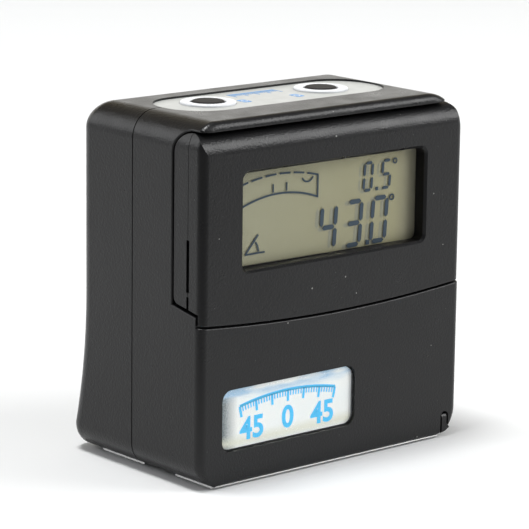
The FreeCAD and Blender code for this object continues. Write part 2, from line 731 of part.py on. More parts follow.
def display_bezel(block, room):
    """The head's front half, with the window and the bosses for its screws."""
    shell = block.common(box(-HALF, HALF, -1, HEAD_SPLIT - TINY, 0, HEIGHT)).cut(room)
    bosses = [rod_y(HEAD_WALL - 0.2, HEAD_DEPTH - 1.2 - TINY, x, z, 1.9) for x, z in head_screw_places()]
    inner = HALF - HEAD_INSET - 0.9
    keep = box(-inner, inner, 0, HEAD_DEPTH, HEAD_BOTTOM_BACK + 0.5, PIVOT_Z)
    shell = shell.multiFuse([boss.common(keep) for boss in bosses])
    shell = shell.cut(window_cut()).cut(group(lug_slots())).cut(pry_slot())
    for x, z in head_screw_places():
        shell = shell.cut(rod_y(HEAD_WALL + 0.9, HEAD_DEPTH, x, z, 0.7))
    return shell.cut(group(pin_bores(PIN_RADIUS)))


def display_back(block, room):
    """The head's back half, a plain cover with four countersunk screw holes."""
    shell = block.common(box(-HALF, HALF, HEAD_SPLIT + TINY, HEAD_DEPTH + 1, 0, HEIGHT)).cut(room)
    shell = shell.cut(group(lug_slots())).cut(pry_slot())
    for x, z in head_screw_places():
        shell = shell.cut(rod_y(HEAD_SPLIT, HEAD_DEPTH - 1.2, x, z, 1.9 + GAP))
        shell = shell.cut(rod_y(HEAD_SPLIT, HEAD_DEPTH + 1, x, z, 0.85))
        shell = shell.cut(cone_y(HEAD_DEPTH - 0.9, HEAD_DEPTH + 0.01, x, z, 0.85, 1.6))
    return shell.cut(group(pin_bores(PIN_RADIUS)))


def display_screws():
    screws = []
    for x, z in head_screw_places():
        head = cone_y(HEAD_DEPTH - 0.85, HEAD_DEPTH - 0.1, x, z, 0.75, 1.45)
        shank = rod_y(HEAD_WALL + 1.0, HEAD_DEPTH - 0.8, x, z, 0.7)
        screws.append(join(head, shank).cut(cross_slot(x, HEAD_DEPTH - 0.1, z, 0.8, 0.4, 1)))
    return group(screws)


def hinge_pins():
    return group([pin for pin in pin_bores(PIN_RADIUS)])


def friction_washers():
    """A thin spring washer on each pin, between the lug's outer face and the head's boss."""
    washers = []
    for side in (-1, 1):
        near = side * (LUG_X + LUG_WIDTH / 2 + TINY)
        far = near + side * 0.2
        x0, x1 = sorted((near, far))
        disc = rod_x(x0, x1, PIVOT_DEPTH, PIVOT_Z, LUG_RADIUS - 0.3)
        washers.append(disc.cut(rod_x(x0 - 1, x1 + 1, PIVOT_DEPTH, PIVOT_Z, PIN_RADIUS)))
    return group(washers)


# ---- The display ----------------------------------------------------------------------------------------
def lcd_film():
    """The polarising film on the front of the display cell."""
    d0 = HEAD_WALL + TINY
    return box(-LCD_HALF, LCD_HALF, d0, d0 + FILM_THICK, LCD_LOW, LCD_HIGH)


def lcd_front():
    return HEAD_WALL + TINY + FILM_THICK


def lcd_cell():
    d0 = lcd_front()
    return box(-LCD_HALF, LCD_HALF, d0, d0 + LCD_THICK, LCD_LOW, LCD_HIGH)


def figure_depth():
    return HEAD_WALL + TINY - DIGIT_THICK


SEGMENT_SETS = {
    "0": "abcdef", "3": "abcdg", "4": "bcfg", "5": "acdfg",
}


def digit(figure, x, z, width, height, stroke, slant):
    """A seven-segment figure whose lower left corner is at (x, z)."""
    half = height / 2
    gap = stroke * 0.26
    solids = []
    bars = {"a": (0, height, width, height), "g": (0, half, width, half), "d": (0, 0, width, 0),
            "f": (0, half, 0, height), "e": (0, 0, 0, half), "b": (width, half, width, height),
            "c": (width, 0, width, half)}
    for name in SEGMENT_SETS[figure]:
        solids.append(segment_bar(bars[name], (x, z), stroke, gap, slant))
    return solids


def segment_bar(bar, origin, stroke, gap, slant):
    """One segment: a bar with pointed ends, leaning to the right by slant."""
    x0, z0, x1, z1 = bar
    length = math.hypot(x1 - x0, z1 - z0)
    ux, uz = (x1 - x0) / length, (z1 - z0) / length
    nx, nz = -uz, ux
    half = stroke / 2
    steps = [(gap, 0), (gap + half, half), (length - gap - half, half), (length - gap, 0),
             (length - gap - half, -half), (gap + half, -half)]
    points = []
    for run, side in steps:
        px = x0 + ux * run + nx * side
        pz = z0 + uz * run + nz * side
        points.append((origin[0] + px + slant * pz, origin[1] + pz))
    return front_prism(points, figure_depth(), figure_depth() + DIGIT_THICK)


def mark(points):
    return front_prism(points, figure_depth(), figure_depth() + DIGIT_THICK)


def bar_mark(x0, x1, z0, z1):
    return mark([(x0, z0), (x1, z0), (x1, z1), (x0, z1)])


def arc_mark(centre_x, top_z, radius, start, end, stroke):
    """Part of a ring whose top is at (centre_x, top_z), from start to end in degrees from upright."""
    centre_z = top_z - radius

    def point(r, degrees):
        a = math.radians(degrees)
        return (centre_x + r * math.sin(a), centre_z + r * math.cos(a))

    middle = (start + end) / 2
    outer, inner = radius, radius - stroke
    return mark([point(outer, start), (point(outer, middle), point(outer, end)),
                 point(inner, end), (point(inner, middle), point(inner, start))])


def ring_mark(x, z, radius, stroke):
    d0, d1 = figure_depth(), figure_depth() + DIGIT_THICK
    return rod_y(d0, d1, x, z, radius).cut(rod_y(d0 - 1, d1 + 1, x, z, radius - stroke))


def lcd_figures():
    """The shown figures: 0.5 and 43.0 degrees, a level arc with its bubble, and a corner mark."""
    solids = []
    small = dict(z=44.9, width=1.75, height=4.6, stroke=0.52, slant=0.07)
    solids += digit("0", 8.0, **small)
    solids.append(bar_mark(10.7, 11.3, 44.65, 45.25))
    solids += digit("5", 12.1, **small)
    solids.append(ring_mark(15.1, 49.25, 0.52, 0.24))
    large = dict(z=36.0, width=3.1, height=7.3, stroke=0.8, slant=0.07)
    solids += digit("4", -1.6, **large)
    solids += digit("3", 4.1, **large)
    solids.append(bar_mark(8.7, 9.5, 35.6, 36.4))
    solids += digit("0", 9.85, **large)
    solids.append(ring_mark(14.5, 43.1, 0.58, 0.25))
    return group(solids + level_icon() + corner_icon())


def level_icon():
    """A bent spirit-level tube with two ticks and a bubble near its right end."""
    middle = -10.5
    stroke = 0.32
    solids = []
    for index in range(6):
        end = 14.9 - 5.44 * index
        solids.append(arc_mark(middle, 50.1, 32.0, end - 4.2, end, stroke))
    solids.append(arc_mark(middle, 46.85, 23.2, -23.6, 20.7, stroke))
    for side in (-1, 1):
        solids.append(bar_mark(middle + side * 1.45 - 0.14, middle + side * 1.45 + 0.14, 46.95, 48.35))
    solids.append(bar_mark(-2.4, -2.1, 45.0, 49.0))
    solids.append(arc_mark(-4.5, 47.8, -1.45, -65, 65, -0.28))
    return solids


def corner_icon():
    """A small angle mark: two legs and an arc."""
    return [bar_mark(-17.8, -13.6, 37.2, 37.5),
            mark([(-17.8, 37.5), (-17.4, 37.5), (-14.9, 40.3), (-15.2, 40.5)]),
            arc_mark(-17.8, 40.4, 3.0, 50, 86, 0.3)]


def display_board():
    d0 = lcd_front() + LCD_THICK + 0.75
    return box(-21.0, 21.0, d0, d0 + HEAD_BOARD_THICK, 32.0, 51.8)


def zebra_strips():
    """Rubber connector strips that join the display cell to its board, above and below."""
    d0 = lcd_front() + LCD_THICK
    strips = [box(-20.5, 20.5, d0 + TINY / 2, d0 + 0.75 - TINY / 2, z, z + 1.4) for z in (33.6, 50.2)]
    return group(strips)


# ---- Wires through the hinge ---------------------------------------------------------------------------
def wire_channel():
    """The passage for the display's wires: along the middle lug's arm, then out along its axis."""
    side = box(-0.9, CENTRE_LUG_WIDTH / 2 + 1, PIVOT_DEPTH - 0.9, PIVOT_DEPTH + 0.9, PIVOT_Z - 0.9, PIVOT_Z + 0.9)
    arm = box(-0.9, 0.9, PIVOT_DEPTH - 0.9, 10.5, PIVOT_Z - 0.9, PIVOT_Z + 0.9)
    return join(side, arm)


def tube(points, radius, bend):
    """A round bar along straight runs joined by tangent arcs."""
    edges = []
    here = points[0]
    for before, corner, after in zip(points, points[1:], points[2:]):
        towards = (before - corner).normalize()
        onwards = (after - corner).normalize()
        angle = towards.getAngle(onwards)
        cut = bend / math.tan(angle / 2)
        start = corner + towards * cut
        end = corner + onwards * cut
        inward = (towards + onwards).normalize()
        centre = corner + inward * (bend / math.sin(angle / 2))
        middle = centre - inward * bend
        edges.append(Part.LineSegment(here, start).toShape())
        edges.append(Part.Arc(start, middle, end).toShape())
        here = end
    edges.append(Part.LineSegment(here, points[-1]).toShape())
    path = Part.Wire(edges)
    direction = (points[1] - points[0]).normalize()
    ring = Part.Wire([Part.makeCircle(radius, points[0], direction)])
    return path.makePipeShell([ring], True, False)


def case_wires():
    """From the button board, through the back of the notch, to the hinge axis."""
    return tube([at(0, 12.0, BUTTON_BOARD_Z + 2.2), at(0, 12.0, PIVOT_Z), at(0, PIVOT_DEPTH, PIVOT_Z),
                 at(CENTRE_LUG_WIDTH / 2 + 1.6, PIVOT_DEPTH, PIVOT_Z)], 0.55, 0.8)


def head_wires():
    """From the hinge axis down to the head's board."""
    start = CENTRE_LUG_WIDTH / 2 + 1.6 + TINY
    return tube([at(start, PIVOT_DEPTH, PIVOT_Z), at(start + 2.2, PIVOT_DEPTH, PIVOT_Z),
                 at(start + 2.2, PIVOT_DEPTH + 1.65, PIVOT_Z - 2.4)], 0.5, 0.7)


# ---- Top panel and buttons -----------------------------------------------------------------------------
def top_panel():
    floor = HEIGHT - PANEL_SINK - PANEL_THICK
    edge = TINY
    plate = rounded_top(edge - PANEL_WIDTH / 2, PANEL_WIDTH / 2 - edge, PANEL_MIDDLE - PANEL_DEPTH / 2 + edge,
                        PANEL_MIDDLE + PANEL_DEPTH / 2 - edge, PANEL_RADIUS - edge, floor, floor + PANEL_THICK)
    return plate.cut(group(button_bores(RING_OUTER + TINY)))


def button_rings():
    floor = HEIGHT - PANEL_SINK - PANEL_THICK
    rings = []
    for side in (-1, 1):
        ring = rod_z(floor, HEIGHT, button_x(side), BUTTON_MIDDLE, RING_OUTER)
        ring = ring.cut(rod_z(floor - 1, HEIGHT + 1, button_x(side), BUTTON_MIDDLE, RING_INNER))
        rim = flat_edges(ring, lambda b: b.ZMin > HEIGHT - 0.01)
        rings.append(ring.makeFillet(0.25, rim))
    return group(rings)


def button(side):
    """A button: a domed cap, and a wide foot that stops it under the case's top."""
    foot_top = CEILING - GAP
    x = button_x(side)
    cap = rod_z(foot_top - FLANGE_THICK, BUTTON_TOP, x, BUTTON_MIDDLE, BUTTON_RADIUS)
    foot = rod_z(foot_top - FLANGE_THICK, foot_top, x, BUTTON_MIDDLE, FLANGE_RADIUS)
    whole = join(cap, foot)
    return whole.makeFillet(0.45, flat_edges(whole, lambda b: b.ZMin > BUTTON_TOP - 0.01))


def plunger(side):
    top = CEILING - GAP - FLANGE_THICK - TINY / 2
    return rod_z(top - 1.6, top, button_x(side), BUTTON_MIDDLE, PLUNGER_RADIUS)


def switch(side):
    """A tactile switch: a square body with a round well for its plunger."""
    base = BUTTON_BOARD_Z + BUTTON_BOARD_THICK
    half = SWITCH_SIDE / 2
    x = button_x(side)
    body = box(x - half, x + half, BUTTON_MIDDLE - half, BUTTON_MIDDLE + half, base, base + SWITCH_HEIGHT)
    return body.cut(rod_z(base + 1.4, base + 5, x, BUTTON_MIDDLE, PLUNGER_RADIUS + FIT))


def button_board():
    return box(-19.5, 19.5, 10.4, 26.2, BUTTON_BOARD_Z, BUTTON_BOARD_Z + BUTTON_BOARD_THICK)


# ---- Base ------------------------------------------------------------------------------------------------
def base_plate():
    """The metal base: a lip under the case, a block that fills the floor and a groove for round bars."""
    lip = rounded_top(PLATE_LEFT, PLATE_RIGHT, PLATE_FRONT, PLATE_BACK, 0.6, 0, PLATE_LIP)
    lip = lip.makeChamfer(PLATE_BEVEL, flat_edges(lip, lambda b: b.ZMin > PLATE_LIP - 1e-3))
    block = box(-BLOCK_HALF, BLOCK_HALF, BLOCK_FRONT, BLOCK_BACK, 0, BLOCK_TOP)
    plate = join(lip, block)
    groove = side_prism([(GROOVE_FRONT - 1, -1), (GROOVE_FRONT + GROOVE_HEIGHT, GROOVE_HEIGHT),
                         (GROOVE_BACK - GROOVE_HEIGHT, GROOVE_HEIGHT), (GROOVE_BACK + 1, -1)],
                        -HALF, HALF)
    plate = plate.cut(groove)
    for x, depth in magnet_places():
        plate = plate.cut(rod_z(-1, MAGNET_THICK + 0.1, x, depth, MAGNET_RADIUS))
    for x, depth in base_screw_places():
        plate = plate.cut(rod_z(-1, BLOCK_TOP + 1, x, depth, 1.1))
        plate = plate.cut(rod_z(-1, 1.5, x, depth, 2.1))
    return plate


def magnet_places():
    return [(side * MAGNET_X, depth) for side in (-1, 1) for depth in MAGNET_DEPTHS]


def base_screw_places():
    return [(side * BASE_SCREW_X, depth) for side in (-1, 1) for depth in BASE_SCREW_DEPTHS]


def magnets():
    return group([rod_z(0.1, MAGNET_THICK + 0.1, x, d, MAGNET_RADIUS) for x, d in magnet_places()])


def base_frame():
    """A plastic frame on top of the base block that the base screws bite into."""
    plate = box(-BLOCK_HALF + 1, BLOCK_HALF - 1, BLOCK_FRONT + 0.4, BLOCK_BACK - 0.4, BLOCK_TOP, BLOCK_TOP + 1.3)
    for x, depth in base_screw_places():
        plate = plate.cut(rod_z(0, BLOCK_TOP + 3, x, depth, 0.8))
    return plate


def base_screws():
    screws = []
    for x, depth in base_screw_places():
        head = rod_z(0.3, 1.5, x, depth, 1.9)
        shank = rod_z(1.4, BLOCK_TOP + 1.2, x, depth, 0.8)
        screw = join(head, shank)
        for half_x, half_y in ((1.1, 0.2), (0.2, 1.1)):
            screw = screw.cut(box(x - half_x, x + half_x, depth - half_y, depth + half_y, 0, 0.9))
        screws.append(screw)
    return group(screws)


# ---- Battery, door and catch ---------------------------------------------------------------------------------
def battery_cell():
    x0 = CELL_RIGHT - CELL_LENGTH
    body = rod_x(x0, CELL_RIGHT - 1.0, CELL_DEPTH, CELL_Z, CELL_RADIUS)
    body = body.makeFillet(0.4, flat_edges(body, lambda b: along(b, "X")))
    return join(body, rod_x(CELL_RIGHT - 1.4, CELL_RIGHT, CELL_DEPTH, CELL_Z, 1.9))


def battery_tray():
    """An open trough that the cell lies in."""
    x0 = CELL_RIGHT - CELL_LENGTH - 5.0
    low = BLOCK_TOP + 1.3 + TINY
    tray = box(x0, CELL_RIGHT + 1.0, WALL + TINY, CELL_DEPTH + CELL_RADIUS + 1.0, low, CELL_Z + 1.5)
    tray = tray.cut(rod_x(x0 + 1.2, HALF, CELL_DEPTH, CELL_Z, CELL_RADIUS + 0.15))
    return tray.cut(box(x0 + 1.2, HALF, CELL_DEPTH - CELL_RADIUS - 0.15, CELL_DEPTH + CELL_RADIUS + 0.15,
                        CELL_Z, HEIGHT))


def battery_spring():
    """The conical contact spring at the cell's flat end, and its plate."""
    x0 = CELL_RIGHT - CELL_LENGTH - 3.7
    plate = rod_x(x0, x0 + 0.4, CELL_DEPTH, CELL_Z, SPRING_PLATE)
    reach = CELL_RIGHT - CELL_LENGTH - TINY - (x0 + 0.4) - 0.75
    helix = Part.makeHelix(reach / 3, reach, 3.2, -18)
    ring = Part.Wire([Part.makeCircle(0.3, Vector(3.2, 0, 0), Vector(0, 1, 0))])
    coil = Part.Wire(helix.Edges).makePipeShell([ring], True, True)
    coil.rotate(Vector(0, 0, 0), Vector(0, 1, 0), 90)
    coil.translate(at(x0 + 0.65, CELL_DEPTH, CELL_Z))
    return join(plate, coil)


def battery_door():
    """The door in the right side, with its hinge eyes."""
    skin = box(HALF - DOOR_THICK, HALF, DOOR_FRONT, DOOR_PIN_DEPTH, DOOR_LOW, DOOR_HIGH)
    eyes = [rod_z(DOOR_LOW, DOOR_HIGH, DOOR_PIN_X, DOOR_PIN_DEPTH, KNUCKLE_RADIUS)]
    door = skin.multiFuse(eyes)
    clear = rod_z(KNUCKLE_LOW, KNUCKLE_HIGH, DOOR_PIN_X, DOOR_PIN_DEPTH, KNUCKLE_RADIUS + GAP)
    room = box(HALF - 3, HALF + 1, DOOR_PIN_DEPTH - KNUCKLE_RADIUS - GAP, DOOR_PIN_DEPTH + 3,
               KNUCKLE_LOW, KNUCKLE_HIGH)
    door = door.cut(clear).cut(room)
    return door.cut(rod_z(DOOR_LOW - 1, DOOR_HIGH + 1, DOOR_PIN_X, DOOR_PIN_DEPTH, DOOR_PIN_RADIUS + FIT))


def door_pin():
    return rod_z(DOOR_LOW + 0.3, DOOR_HIGH - 0.3, DOOR_PIN_X, DOOR_PIN_DEPTH, DOOR_PIN_RADIUS)


def door_contact():
    """The spring leaf on the door's inside that meets the cell's raised end."""
    back = HALF - DOOR_THICK
    plate = box(back - 0.4, back, CELL_DEPTH - 3.5, CELL_DEPTH + 3.5, CELL_Z - 3.5, CELL_Z + 3.5)
    leaf = box(CELL_RIGHT + TINY, back - 0.3, CELL_DEPTH - 1.5, CELL_DEPTH + 1.5, CELL_Z - 1.2, CELL_Z + 1.2)
    hollow = box(CELL_RIGHT + TINY + 0.3, back - 0.3, CELL_DEPTH - 1.2, CELL_DEPTH + 1.2, CELL_Z - 2, CELL_Z + 2)
    return join(plate, leaf.cut(hollow))


def door_catch():
    """A small tongue at the lower right corner that turns out at its foot."""
    radius = CATCH_THICK / 2
    front = front_prism(catch_outline(0), -1, CATCH_THICK + 1)
    low = PLATE_LIP
    profile = [
        (0, low + 0.7),
        ((0.2, low + 0.2), (0.7, low)),
        (CATCH_THICK - 0.5, low),
        (CATCH_THICK, low + 0.6),
        (CATCH_THICK, CATCH_PIN_Z),
        ((radius, CATCH_PIN_Z + radius), (0, CATCH_PIN_Z)),
    ]
    tongue = front.common(side_prism(profile, CATCH_X - 3, CATCH_X + 3))
    return tongue.cut(rod_x(CATCH_X - 3, CATCH_X + 3, radius, CATCH_PIN_Z, CATCH_PIN_RADIUS + FIT))


def catch_pin():
    return rod_x(CATCH_X - 1.6, CATCH_X + 1.6, CATCH_THICK / 2, CATCH_PIN_Z, CATCH_PIN_RADIUS)


# ---- Label and electronics -------------------------------------------------------------------------------------
def label_slab(d0, d1):
    x0, x1, z0, z1 = LABEL
    g = LABEL_GAP
    return rounded_front(x0 + g, x1 - g, z0 + g, z1 - g, [LABEL_RADIUS - g] * 4, d0, d1)


def label_foil():
    return label_slab(LABEL_SINK - FOIL_THICK, LABEL_SINK)


def label_dome():
    """The clear resin dome over the foil."""
    top = LABEL_SINK - FOIL_THICK - DOME_THICK
    slab = label_slab(top, LABEL_SINK - FOIL_THICK)
    return slab.makeFillet(0.55, flat_edges(slab, lambda b: b.YMax < FRONT + top + 0.01))


def main_board():
    x0, x1, z0, z1 = MAIN_BOARD
    board = box(x0, x1, MAIN_BOARD_FRONT, MAIN_BOARD_FRONT + MAIN_BOARD_THICK, z0, z1)
    for x, z in post_places():
        board = board.cut(rod_y(MAIN_BOARD_FRONT - 1, MAIN_BOARD_FRONT + 3, x, z, 1.0))
    return board


def board_screws():
    screws = []
    for x, z in post_places():
        head = rod_y(MAIN_BOARD_FRONT - 1.0, MAIN_BOARD_FRONT, x, z, 1.7)
        shank = rod_y(MAIN_BOARD_FRONT - 0.1, MAIN_BOARD_FRONT + 5, x, z, 0.8)
        screws.append(join(head, shank).cut(cross_slot(x, MAIN_BOARD_FRONT - 1.0, z, 0.9, 0.5, -1)))
    return group(screws)


def chip(x, z, side, thick):
    face = MAIN_BOARD_FRONT
    return box(x - side / 2, x + side / 2, face - thick, face, z - side / 2, z + side / 2)


def board_link():
    """A row of header pins that joins the two boards."""
    depth = MAIN_BOARD_FRONT - 1.3
    top = BUTTON_BOARD_Z
    pins = []
    for index in range(6):
        x = (index - 2.5) * 1.27
        pins.append(box(x - 0.2, x + 0.2, depth - 0.2, depth + 0.2, top - 4.0, top))
    block = box(-4.2, 4.2, depth - 1.1, MAIN_BOARD_FRONT, top - 3.9, top - 1.6)
    return join(block, *pins)


def build():
    block = outer_block()
    room = cavity()
    head = head_block()
    head_hollow = head_room()
    return {
        "middle_shell": middle_shell(block, room),
        "rear_cover": rear_cover(block, room),
        "cover_screws": cover_screws(),
        "base_plate": base_plate(),
        "base_frame": base_frame(),
        "base_magnets": magnets(),
        "base_screws": base_screws(),
        "display_bezel": display_bezel(head, head_hollow),
        "display_back_cover": display_back(head, head_hollow),
        "display_screws": display_screws(),
        "lcd_film": lcd_film(),
        "lcd_cell": lcd_cell(),
        "lcd_figures": lcd_figures(),
        "zebra_strips": zebra_strips(),
        "display_board": display_board(),
        "display_wires": head_wires(),
        "hinge_pins": hinge_pins(),
        "friction_washers": friction_washers(),
        "case_wires": case_wires(),
        "top_panel": top_panel(),
        "button_rings": button_rings(),
        "power_button": button(-1),
        "zero_button": button(1),
        "power_switch_plunger": plunger(-1),
        "zero_switch_plunger": plunger(1),
        "power_switch": switch(-1),
        "zero_switch": switch(1),
        "button_board": button_board(),
        "board_link": board_link(),
        "main_board": main_board(),
        "board_screws": board_screws(),
        "controller_chip": chip(-6.0, 30.0, 10.0, 1.2),
        "tilt_sensor": chip(9.0, 32.0, 5.0, 1.0),
        "battery_tray": battery_tray(),
        "battery_cell": battery_cell(),
        "battery_spring": battery_spring(),
        "battery_door": battery_door(),
        "door_pin": door_pin(),
        "door_contact": door_contact(),
        "door_catch": door_catch(),
        "catch_pin": catch_pin(),
        "label_foil": label_foil(),
        "label_dome": label_dome(),
    }


def main():
    os.makedirs("parts", exist_ok=True)
    for name, shape in build().items():
        shape.exportStep(f"parts/{name}.step")
        solids = len(shape.Solids)
        print(f"{name:22s} solids {solids:2d} valid {shape.isValid()} volume {shape.Volume:9.2f}")


main()
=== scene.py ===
"""Looks for the pocket digital angle gauge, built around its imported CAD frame.

Lengths are in metres. X runs to the right along the front, Y to the back, Z up from the base.
"""
import math

import bmesh
import bpy
from mathutils import Matrix, Vector


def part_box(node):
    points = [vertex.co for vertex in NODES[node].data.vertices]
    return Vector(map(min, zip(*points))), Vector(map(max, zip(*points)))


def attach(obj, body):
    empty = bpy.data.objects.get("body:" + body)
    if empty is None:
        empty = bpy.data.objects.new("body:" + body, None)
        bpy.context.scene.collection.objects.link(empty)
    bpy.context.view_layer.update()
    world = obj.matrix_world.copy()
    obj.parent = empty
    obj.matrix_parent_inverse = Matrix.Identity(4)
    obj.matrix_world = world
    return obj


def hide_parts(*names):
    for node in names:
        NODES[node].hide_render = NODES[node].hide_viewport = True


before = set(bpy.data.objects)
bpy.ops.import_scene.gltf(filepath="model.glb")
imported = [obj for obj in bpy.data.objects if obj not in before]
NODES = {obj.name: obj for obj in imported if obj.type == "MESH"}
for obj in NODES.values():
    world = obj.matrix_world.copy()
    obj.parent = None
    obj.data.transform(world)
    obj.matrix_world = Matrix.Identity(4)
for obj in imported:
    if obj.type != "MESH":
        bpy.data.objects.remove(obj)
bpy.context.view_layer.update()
MM = 0.001

# ---- The camera: where the viewer stands and how the picture is framed --------------------------
VIEW_AZIMUTH = math.radians(40.78)     # to the left of straight on
VIEW_ELEVATION = math.radians(12.56)
VIEW_ROLL = math.radians(0.75)
VIEW_DISTANCE = 474.6 * MM
VIEW_AIM = Vector((-8.46, -9.36, 33.47)) * MM
VIEW_LENS = 195.0                      # mm, on a sensor 36 mm wide

# ---- Colours (linear) ------------------------------------------------------------------------------
CASE_DARK = (0.0045, 0.0045, 0.0050)
CASE_LIGHT = (0.0075, 0.0075, 0.0080)
DUST = (0.22, 0.22, 0.21)
FLOOR_WHITE = (0.80, 0.81, 0.81)
FLOOR_DROP = 0.3 * MM                  # the base's edges stand this far clear of the paper
FLOOR_REACH = 6.0
TABLE_GREY = (0.28, 0.28, 0.28)
ROOM_DIM = (0.24, 0.24, 0.25)
ROOM_WARM = (0.34, 0.27, 0.14)
ROOM_BACKDROP = (1.35, 1.34, 1.30)
BACKDROP_AZIMUTH = math.radians(32.0)
PRINT_BLUE = (0.018, 0.580, 1.000)
PRINT_BLUE_DEEP = (0.012, 0.520, 0.970)

# ---- The lights: name, direction from the object, distance (m), size (m), radiance, colour -----------
LAMPS = (
    ("top_box", (-0.13, 0.05, 1.0), 1.8, 0.46, 36.0, (1.0, 1.0, 1.0)),
    ("right_box", (0.66, -0.58, 0.48), 1.6, 0.85, 6.8, (1.0, 1.0, 1.0)),
    ("left_box", (-0.60, 0.66, 0.42), 1.6, 0.95, 2.7, (0.98, 0.99, 1.0)),
    ("front_fill", (0.15, -0.62, 0.80), 1.7, 0.80, 1.3, (1.0, 1.0, 1.0)),
)
PAPER_END = 0.065                      # how far in front of the object the paper ends (m)
PAPER_FADE = 0.06                      # length of its fading edge (m)

# ---- Surface textures -------------------------------------------------------------------------------
CASE_GRAIN = 2600.0                    # leathery grains per metre
HEAD_GRAIN = 2800.0
GRAIN_STRENGTH = 0.75
GRAIN_DEPTH = 0.00007                  # m
DUST_SHARE = 0.22                      # share of the cells that hold a speck
FINE_GRAIN = 2600.0
FINE_DEPTH = 0.00003                   # m
METAL_WEAR = 500.0

# ---- The printed and display marks (mm) ------------------------------------------------------------
PRINT_THICK = 0.02
SIGN_THICK = 0.01
SHADOW_THICK = 0.012
LABEL_ARC_TOP = 14.1                   # height of the label scale's highest point
LABEL_ARC_RADIUS = 48.0
LABEL_ARC_MIDDLE = -9.5
LABEL_ARC_REACH = 12.6                 # degrees to each side
LABEL_HALF_TICKS = 18                  # ticks to each side of the middle one
LABEL_FIGURE_SIZE = 5.2
LABEL_FIGURES = (("45", -17.2, 7.0), ("0", -9.5, 7.5), ("45", -1.8, 7.0))    # text, middle, foot
CROWN_EDGE = 0.22                      # thickness of the resin at its rim
CROWN_SHOULDER = 1.5                   # how far in from the rim the crown rises steeply
CROWN_CORNER = 1.65                    # radius of the resin's corners
CROWN_FIRST = 0.90                     # share of the full height reached at the shoulder
PANEL_TICKS = 21
PANEL_POWER = (-6.6, 6.6)              # the signs' x and distance behind the panel's front edge
PANEL_ZERO = (4.3, 5.8)
SLANT = 0.07                           # lean of the display's figures
SMALL_FIGURES = (("0", 8.0), ("5", 12.1))
SMALL_PLACE = (44.9, 1.75, 4.6, 0.5)   # foot, width, height and stroke
LARGE_FIGURES = (("4", -1.6), ("3", 4.1), ("0", 9.85))
LARGE_PLACE = (36.0, 3.1, 7.3, 0.78)
SHADOW = (-0.95, -0.15)                # how far the figures' shadows fall from them
FILM_AIR = 0.03                        # air between the cell and the clear film
CORNER_STEPS = 8                       # facets in each rounded corner

# ---- The window's lining and the base's edge (mm) ----------------------------------------------------
LINER_LOW = (-20.07, 0, 35.23)
LINER_HIGH = (20.07, 0, 51.37)
LINER_CORNER = 1.17
LINER_SETBACK = 0.42
# Painted shade: a dark strip across the foot of the display, taller towards its left end.
SHADE_STRIP = ((-19.6, 35.3), (19.6, 35.3), (19.6, 35.36), (-19.6, 35.62))
SHADE_STRIP_THICK = 0.3
EDGE_SECTION = ((-25.9, 0.02), (-26.07, 0.02), (-25.99, 0.31), (-25.9, 0.31))
GROOVE_START = 9.6                     # where the edge stops in front of the groove
GROOVE_END = 17.8


